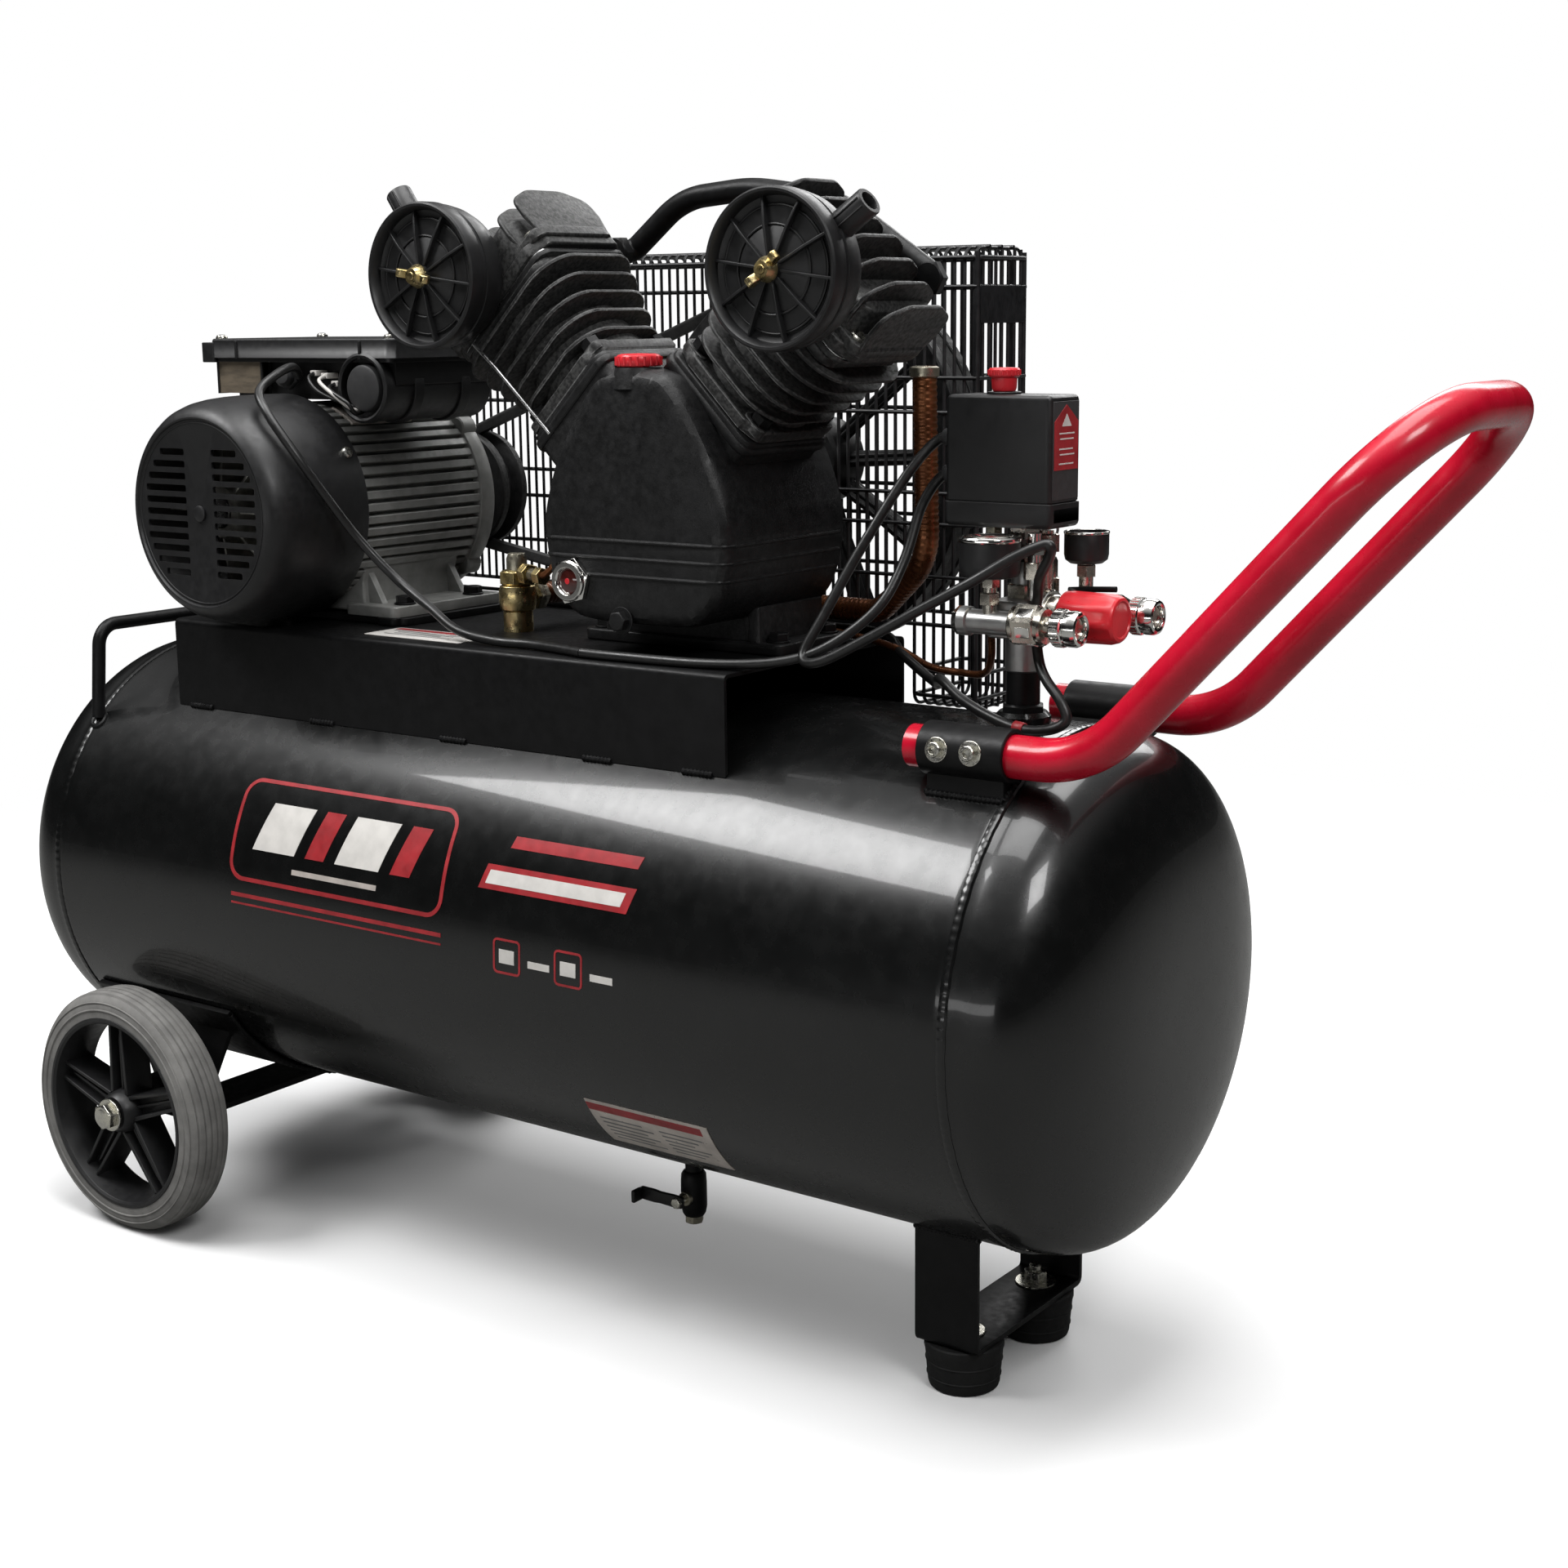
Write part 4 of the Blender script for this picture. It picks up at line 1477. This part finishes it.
def build_switch():
    box = Piece("pressure_switch_visual", "black_plastic",
                PLASTIC, CHARCOAL, MARK_RED, ZINC, MARK_WHITE)
    box.prism(round_rect(375.5, -3, 40.5, 21, 4, 4), 595, 611.4, edge=0.4, base_edge=4)
    box.prism(round_rect(375.5, -3, 38.8, 19.4, 3, 4), 611, 612.6)
    box.prism(round_rect(375.5, -3, 39.8, 20.2, 4, 5), 612.2, 681, edge=3.5, base_edge=0.4)
    # lighter side plates with a red field under a pointed top
    lower = [(-19, 599), (14, 599), (14, 608), (-19, 608)]
    upper = [(-20, 614), (14, 614), (14, 677), (-20, 677)]
    field = [(-19, 633), (12.5, 633), (12.5, 664), (-3.2, 675), (-19, 664)]
    box.prism(lower, 415.4, 416.0, "yz", CHARCOAL, edge=0.2)
    box.prism(upper, 414.9, 415.7, "yz", CHARCOAL, edge=0.3)
    box.prism(field, 415.6, 416.1, "yz", MARK_RED)
    box.prism([(-9.5, 661), (3, 661), (-3.2, 669)], 416.0, 416.3, "yz", MARK_WHITE)
    for i, z in enumerate((656, 652.5, 646, 642.5, 636.5)):
        box.box(416.0, 416.25, -13 + (i % 2), 7 - i % 3, z, z + 0.9, MARK_WHITE)
    # collar of the button, cable glands on the -X flank
    box.ring(11.4, 8.6, 680.4, 682.6, place(*BUTTON, 0), 40, edge=0.4)
    for z in (628, 652):
        gland = place(335.8, -3, z, "-x")
        box.hexagon(16, 0, 4, gland, CHARCOAL)
        box.lathe([(7.0, 4), (7.0, 8), (5.4, 12), (3.6, 12.4), (0, 12.4)], gland, 28, CHARCOAL)
    box.hexagon(19, 586.8, 595.2, place(RISER_X, 0, 0), ZINC)
    box.build(bevel=0.3, smooth=34, replaces="pressure_switch")

    button = Piece("switch_button_visual", "red_plastic", RED_PLASTIC, body="switch_button")
    button.lathe([(6, 677), (6, 682), (7.6, 683.2), (8.2, 685), (8.6, 691.6), (10.2, 692.6),
                  (10.6, 693.6), (10.6, 696.6), (9.6, 697.9), (5, 698.2), (0, 698.2)],
                 place(*BUTTON, 0), 48)
    button.knurl(22, *BUTTON, 10.5, 0.55, 693.4, 696.8)
    button.build(smooth=34, replaces="switch_knob")


def build_manifold():
    """Riser, cross block, branches, small gauge cup and fittings."""
    air = Piece("air_manifold_visual", "bright_steel",
                SATIN_ALU, ZINC, NICKEL, SATIN, CHROME, STEEL, PLASTIC)
    riser = place(RISER_X, 0, 0)
    air.hexagon(27, 463, 476, riser, SATIN, both=True)
    air.rod(11.4, 462, 500, riser, 40, SATIN)
    air.rod(12.4, 498, 522, riser, 48, edge=1)
    air.prism(round_rect(RISER_X, -1, 14, 27, 5, 5), 522.5, 547.5, edge=2.5)
    air.hexagon(22, 547, 557, riser, NICKEL)
    air.rod(9, 556, 590, riser, 36)
    air.hexagon(21, 572, 583, riser, NICKEL)
    # front branch: flanged plug at -X, sleeve, squared hexagon, coupler body at +X
    _, y, z, _ = COUPLERS[0]
    front = place(0, y, z, "x")
    plug = place(357, y, z, "-x")
    air.lathe([(7.8, 362), (8.2, 362.4), (8.2, 399), (0, 399)], front)
    air.lathe([(7.9, 356), (9.8, 356.8), (9.8, 363), (8.2, 364)], front)
    air.hexagon(16.5, 0, 4.6, plug, CHROME, turn=10)
    air.lathe([(4.6, 4.4), (4.4, 5.2), (2.8, 5.2), (2.6, 2), (0, 1.6)], plug, 6, SATIN)
    air.lathe([(9, 396), (12.6, 397), (13.2, 398.2), (13.2, 401)], front, 56, NICKEL)
    air.hexagon(25.5, 400.6, 417, front, NICKEL, turn=15)
    for angle in range(0, 360, 60):
        t = radians(angle + 15)
        at = place(409, y + 12.8 * cos(t), z + 12.8 * sin(t), (0, cos(t), sin(t)))
        air.prism(round_rect(0, 0, 5.4, 3.6, 0.8, 3), -0.5, 0.45, mat=CHROME, at=at, edge=0.15)
    air.lathe([(12.6, 416), (12.6, 419), (11.4, 420.6), (7, 421.2), (7, 443)], front, 48,
              NICKEL)
    # rear branch with its black lever
    _, y, z, _ = COUPLERS[1]
    rear = place(0, y, z, "x")
    air.lathe([(9, 384), (9, 424), (11.6, 425), (11.6, 430)], rear, 36, NICKEL)
    air.hexagon(24, 427, 443, rear, NICKEL, turn=8, both=True)
    air.lathe([(7, 440), (7, 465)], rear, 36, NICKEL)
    lever = [(404, y - 6, z + 15), (420, y - 5, z + 16.2), (438, y - 3, z + 17)]
    air.tube(lever, 2.0, 12, SATIN)
    air.rod(4, 545, 552, place(408, y - 6, 0), 20, SATIN)
    # regulator bonnet behind the knob
    bonnet = place(0, 0, 537, "x")
    air.ring(16.6, 9, 402, 406, bonnet, 56, CHROME, edge=0.6)
    air.lathe([(13.6, 397), (13.6, 410), (12, 413), (0, 413)], bonnet, 48, NICKEL)
    air.hexagon(24, 393, 401, bonnet, CHROME, turn=4)
    # stem of the receiver gauge
    stem = place(*GAUGE, 0)
    air.hexagon(12.5, 546, 554, stem, NICKEL)
    air.rod(4.8, 538, 563.4, stem, 24, NICKEL)
    air.hexagon(11.5, 557.5, 563.4, stem, NICKEL, turn=15)
    # small gauge cup on its own stem towards +Y
    outlet = place(413, 32, 0)
    air.rod(4.8, 540, 572, outlet, 24, NICKEL)
    air.hexagon(12, 560, 568, outlet, NICKEL)
    air.lathe([(0, 569), (11, 569), (14.2, 571.4), (15, 575), (15, 588.6), (14.4, 590),
               (13, 590.2), (12.8, 588), (0, 588)], outlet, 56, PLASTIC)
    air.ring(15.3, 13.4, 588.6, 590.4, outlet, 56, CHROME, edge=0.3)
    # small bright fittings under the switch
    fitting = place(400, -15, 0)
    air.hexagon(13, 562, 573, fitting, NICKEL, turn=12)
    air.rod(4.6, 548, 592, fitting, 24, CHROME)
    air.hexagon(12, 578, 586, fitting, CHROME)
    fitting = place(397, 6, 0)
    air.hexagon(15, 578, 590, fitting, NICKEL, turn=20)
    air.rod(5, 549, 592, fitting, 24, NICKEL)
    # safety valve body
    safety = place(RISER_X, 32, 0)
    air.hexagon(15, 548, 558, safety, NICKEL)
    air.lathe([(6.6, 558), (6.6, 569), (5.4, 571.6), (2.6, 571.6), (2.6, 560)], safety, 36,
              NICKEL)
    air.rod(9, 20, 34, place(RISER_X, 0, 536, "y"), 28)
    air.build(bevel=0.25, smooth=36, replaces="air_manifold")

    pin = Piece("safety_pin_visual", "brass", BRASS, STEEL, body="relief_pin")
    pin.rod(2.1, 566, 584, safety, 20, edge=0.3)
    pin.torus(7, 0.95, place(RISER_X, 32, 590.6, "y"), 48, 10, STEEL)
    pin.ring(3.6, 1, 572.4, 574.4, safety, 24, edge=0.3)
    pin.build(smooth=36, replaces="safety_valve_pin")


def build_couplers():
    for side, y, z, x in COUPLERS:
        sleeve = Piece("coupler_sleeve_visual_" + side, "chrome", CHROME,
                       body=side + "_sleeve")
        sleeve.lathe([(7.5, 0.3), (11.2, 0), (12.2, 1), (12.2, 7.8), (11.3, 8.6), (11.3, 10),
                      (12.0, 10.8), (12.0, 16), (11, 18.4), (9.4, 19), (7.9, 18.4),
                      (7.5, 17)], place(x, y, z, "x"), 64, closed=True)
        for i in range(30):
            a = 2 * pi * i / 30
            at = place(x, y + 12.1 * cos(a), z + 12.1 * sin(a), "x")
            sleeve.rod(0.6, 1.4, 7.2, at, 6)
        sleeve.build(smooth=34, replaces="coupler_sleeve_" + side)


def build_regulator_knob():
    knob = Piece("regulator_knob_visual", "red_plastic", RED_PLASTIC, body="regulator")

    def flute(r, h, a):
        if r > 14 and 418 < h < 452:
            wave = cos(a * 9)
            r += 0.55 * copysign(abs(wave) ** 0.6, wave) - 0.4
        return r, h

    knob.lathe([(8.6, 415.6), (15.6, 415.6), (16.6, 416.6), (17.1, 419), (16.6, 450),
                (15.4, 455), (14.2, 456.6), (12.4, 457), (11.4, 455.8), (0, 455.6)],
               place(0, 0, 537, "x"), 96, warp=flute)
    knob.build(bevel=0.2, smooth=34, replaces="regulator_knob")


def build_gauge():
    """Receiver gauge standing upright, its dial facing up."""
    gauge = Piece("gauge_visual", "black_plastic",
                  PLASTIC, CHROME, DIAL, MARK_RED, SHADOW, ZINC)
    at = place(*GAUGE, 0)
    gauge.lathe([(0, 563.6), (15, 563.6), (18.6, 564.6), (19.8, 567), (20.2, 572),
                 (20.2, 587.6), (18.4, 587.6), (18.4, 582.2), (0, 582.2)], at, 72)
    gauge.lathe([(18.5, 587), (20.3, 587), (21.0, 588), (21.0, 589.6), (20.2, 590.8),
                 (18.6, 590.9), (18.1, 589.4)], at, 80, CHROME, closed=True)
    gauge.rod(18.2, 581.6, 583.0, at, 64, DIAL)
    centre = Vector((*GAUGE, 583.1))
    for i in range(28):
        a = radians(225 - 270 * i / 27)
        length = 3.2 if i % 3 == 0 else 1.8
        out = Vector((cos(a), sin(a), 0))
        gauge.tube([centre + out * (16.6 - length), centre + out * 16.6], 0.35, 6,
                   MARK_RED if i > 20 else SHADOW)
    gauge.build(bevel=0.15, smooth=34, replaces="gauge_tank")

    needle = Piece("gauge_needle_visual", "red_plastic", RED_PLASTIC, body="needle")
    outline = [(-5, -1.5), (-5, 1.5), (0, 1.2), (14.6, 0.35), (14.6, -0.35), (0, -1.2)]
    needle.prism([(GAUGE[0] + u, GAUGE[1] + v) for u, v in outline], 585.2, 586.2, edge=0.2)
    needle.ring(2.6, 0.8, 583.6, 587, at, 28, edge=0.2)
    needle.build(smooth=34, replaces="gauge_needle")


# ------------------------------------------------------------------ pipes, cables, drain
UNLOADER_PATH = [
    (-19, -30, 541), (-8, -34, 545), (2, -30, 556), (0, -16, 566), (-14, -6, 563),
    (-24, 4, 545), (-20, 30, 524), (-8, 72, 508), (30, 80, 504.5), (120, 78, 504),
    (190, 74, 500), (240, 66, 494), (272, 60, 484), (300, 58, 482), (322, 52, 484),
    (338, 36, 500), (346, 20, 540), (352, 12, 580), (356, 8, 598)]
# cable from the switch's lower gland along the deck
MOTOR_CABLE = [
    (335, -3, 628), (323, -6, 626), (312, -14, 606), (308, -30, 570), (300, -50, 540),
    (272, -70, 514), (240, -84, 503), (190, -98, 499.8), (120, -104, 499.8),
    (84, -104, 499.8)]
# cable from the upper gland, looped round the controls, then along the deck's belt side
MAINS_CABLE = [
    (335, -3, 652), (320, -6, 650), (306, -22, 628), (286, -48, 580), (268, -66, 536),
    (258, -78, 508), (276, -84, 506), (312, -80, 524), (348, -76, 544), (384, -70, 564),
    (408, -58, 580), (424, -48, 588), (429, -46, 587), (426, -42, 580), (416, -36, 566),
    (408, -24, 552), (405, -22, 538), (410, -26, 512), (420, -34, 500), (434, -40, 488),
    (440, -42, 476), (430, -44, 469), (408, -40, 466), (384, -36, 470), (352, -24, 478),
    (326, -10, 488), (310, 10, 484), (290, 40, 476), (250, 60, 490), (214, 88, 499.8),
    (150, 102, 499.8), (-20, 104, 499.8), (-180, 104, 499.8)]


def build_discharge():
    pipe = Piece("discharge_tube_visual", "copper_tube", COPPER, GREY_BRASS, BRASS)
    corners = [(266, 62, 697), (269, 62, 560), (214, 84, 517), (120, 97, 516),
               (-10, 97, 516), (-52, 60, 522), (-52, -3, 522)]
    points = fillet(corners, [40, 30, 30, 18, 18], 12)
    # stations close enough to carry the corrugation
    dense = [points[0]]
    for a, b in zip(points, points[1:]):
        count = max(1, int((b - a).length / 1.25))
        dense += [a.lerp(b, j / count) for j in range(1, count + 1)]
    pipe.tube(dense, 8.6, 20, swell=lambda d, r: r + 0.32 * sin(d * 2 * pi / 4.6))
    back = (points[-2] - points[-1]).normalized()
    pipe.hexagon(21, -1, 9, place(*points[-1], back), GREY_BRASS, both=True)
    pipe.lathe([(8.8, -5), (10.6, -4), (10.6, 2), (8.8, 3)], place(266, 62, 694), 40,
               GREY_BRASS)
    pipe.build(smooth=50, replaces="discharge_tube")


def build_check_valve():
    valve = Piece("check_valve_visual", "brass", BRASS, GREY_BRASS, COPPER)
    at = place(-52, -20, 0)
    valve.hexagon(26, 468, 478, at, both=True)
    valve.rod(11.5, 477, 512, at, 40, edge=0.6)
    valve.lathe([(9, 510), (13.5, 513), (14.5, 518), (14.5, 527), (13.5, 531), (9, 533)],
                at, 40)
    valve.hexagon(24, 532, 543, at, both=True)
    valve.lathe([(8, 543), (8, 552), (6.4, 556), (0, 556)], at, 36, GREY_BRASS)
    valve.hexagon(19, 0, 9, place(-52, -8, 522, "y"))
    # side branch for the unloader line
    branch = place(-40, -24, 541, (1, -0.25, 0))
    valve.hexagon(15, 0, 8, branch)
    valve.rod(5, 8, 18, branch, 24, GREY_BRASS, edge=0.3)
    valve.hexagon(12, 17, 25, branch)
    valve.build(bevel=0.25, smooth=36, replaces="check_valve")


def build_lines():
    unloader = Piece("unloader_line", "copper_tube", COPPER, GREY_BRASS)
    unloader.tube(smooth_path(UNLOADER_PATH), 2.6, swell=lambda d, r: r + 0.1 * sin(d * 3.1))
    unloader.hexagon(10, 588, 598.4, place(356, 8, 0), GREY_BRASS)
    unloader.build(smooth=50)

    cables = Piece("power_cables", "black_rubber", CABLE, MARK_RED)
    cables.tube(smooth_path(MOTOR_CABLE), 3.5)
    cables.tube(smooth_path(MAINS_CABLE), 3.5)
    band = place(404, -39.4, 466.6, (-0.95, 0.12, 0.1))
    cables.ring(4.4, 3.4, -4, 4, band, 24, MARK_RED, edge=0.3)
    cables.build(smooth=60)

    # thin bright rod from the left bank down to the front of the case
    rod = Piece("valve_link_rod", "bright_steel", STEEL)
    rod.tube([(-27, -86, 715), (-4, -87, 697), (41.5, -86.5, 655), (43, -85, 652)], 1.3, 12)
    rod.build(smooth=50)


def build_drain():
    x = 94
    valve = Piece("drain_valve_visual", "brass", SATIN, GREY_BRASS, ZINC)
    at = place(x, 0, 0)
    cross = place(x, 0, 60, "y")
    valve.hexagon(19, 89, 98, at)
    valve.rod(6.6, 78, 106, at, 36)
    valve.lathe([(8.2, 80), (9.8, 77.4), (10.2, 71), (10.2, 51), (9.2, 46), (7.6, 43.4)], at)
    valve.hexagon(13, 37.5, 44.6, at, GREY_BRASS, both=True)
    valve.rod(5.6, -12.4, 0, cross, 32, GREY_BRASS, edge=0.4)
    valve.rod(3.2, -17.6, 0, cross, 24, ZINC)
    valve.build(bevel=0.25, smooth=36, replaces="drain_valve")

    lever = Piece("drain_lever_visual", "black_plastic", PLASTIC, ZINC, body="drain_handle")
    outline = [(98.5, 55.2), (98.5, 64.8), (88, 65), (76, 64.6), (70, 65.2), (56, 65),
               (56, 55), (70, 54.8), (76, 55.4), (88, 55)]
    lever.prism(round_poly(outline, [3, 3, 2, 4, 4, 2, 2, 4, 4, 2], 4), -21, -17.6, "xz",
                edge=0.7)
    tab = [(56, -21), (59.5, -21), (59.5, -31.6), (56, -31.6)]
    lever.prism(round_poly(tab, 1.2, 3), 55, 65, edge=1)
    lever.hexagon(8, 0, 3.2, place(x, -20.8, 60, "-y"), ZINC, turn=7)
    lever.build(bevel=0.3, smooth=36, replaces="drain_lever")


build_receiver()
build_marks()
build_wheels()
build_feet()
build_handles()
build_deck()
build_motor()
build_pump()
build_flywheel()
build_belt()
build_guard()
build_switch()
build_manifold()
build_couplers()
build_regulator_knob()
build_gauge()
build_discharge()
build_check_valve()
build_lines()
build_drain()

# ------------------------------------------------------------------ CAD nodes that stay in view
CAD_FINISHES = {
    "stator_core": LAMINATION, "rotor_shaft": STEEL, "crankshaft": STEEL,
    "piston_left": BARE_ALU, "piston_right": BARE_ALU,
    "rod_left": INNER_STEEL, "rod_right": INNER_STEEL,
}
for name, material in CAD_FINISHES.items():
    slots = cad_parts[name].data.materials
    slots.clear()
    slots.append(material)

# ------------------------------------------------------------------ world, floor, lights, camera
scene = bpy.context.scene


def build_world():
    """The camera sees white; other rays see a soft sky that brightens overhead."""
    world = bpy.data.worlds[0] if bpy.data.worlds else bpy.data.worlds.new("studio")
    scene.world = world
    world.use_nodes = True
    world.node_tree.nodes.clear()
    node = partial(add_node, world.node_tree)
    height = node("SeparateXYZ", {0: node("TexCoord", {}, "Generated")}, "Z")
    strength = ramp(node, height, 0.34, 0.95, 0.008, 0.62, interpolation_type="SMOOTHSTEP")
    sky = node("Background", {0: (1, 1, 1, 1), 1: strength})
    white = node("Background", {0: (1, 1, 1, 1), 1: 1.0})
    is_camera = node("LightPath", {}, "Is Camera Ray")
    node("OutputWorld", {0: node("MixShader", {0: is_camera, 1: sky, 2: white})})


def build_floor(half=9.0):
    mesh = bpy.data.meshes.new("floor")
    corners = [(-half, -half, 0), (half, -half, 0), (half, half, 0), (-half, half, 0)]
    mesh.from_pydata(corners, [], [(0, 1, 2, 3)])
    floor = bpy.data.objects.new("floor", mesh)
    scene.collection.objects.link(floor)
    mesh.materials.append(FLOOR)


# name, location, target, width, height (metres), power (watts)
LIGHTS = (
    ("key", (-1.7, -1.5, 3.0), (-0.1, 0, 0.35), 1.7, 1.0, 78),
    ("top", (0.1, 0.0, 3.2), (0, 0, 0.4), 2.6, 1.8, 90),
    ("right_high", (2.4, -1.2, 2.6), (0.3, 0, 0.4), 0.9, 0.9, 38),
    ("back", (-0.4, 2.8, 2.2), (0, 0, 0.5), 2.2, 1.2, 42),
    ("low_front", (0.2, -3.4, 0.5), (0, 0, 0.3), 3.0, 0.25, 9),
)


def build_lights():
    for name, location, target, width, height, power in LIGHTS:
        light = bpy.data.lights.new(name, "AREA")
        light.shape = "RECTANGLE"
        light.size, light.size_y = width, height
        light.energy = power
        ob = bpy.data.objects.new(name, light)
        ob.location = location
        direction = Vector(target) - Vector(location)
        ob.rotation_euler = direction.to_track_quat("-Z", "Y").to_euler()
        scene.collection.objects.link(ob)


def build_camera():
    yaw, pitch, roll = 0.6246, 0.2011, -0.0103      # radians
    forward = Vector((-sin(yaw) * cos(pitch), cos(yaw) * cos(pitch), -sin(pitch)))
    level = Vector((cos(yaw), sin(yaw), 0))
    upright = level.cross(forward)
    right = level * cos(roll) + upright * sin(roll)
    up = upright * cos(roll) - level * sin(roll)
    lens = bpy.data.cameras.new("photo")
    lens.sensor_width = 36.0
    lens.lens = 52.295625
    lens.shift_x = -0.0013020833
    lens.shift_y = -0.00375
    camera = bpy.data.objects.new("photo", lens)
    pose = Matrix((right, up, -forward)).transposed().to_4x4()
    pose.translation = Vector((1.1380 + OFFSET_X, -1.3195, 0.7341))
    camera.matrix_world = pose
    scene.collection.objects.link(camera)
    scene.camera = camera
    scene.view_settings.view_transform = "Standard"


build_world()
build_floor()
build_lights()
build_camera()
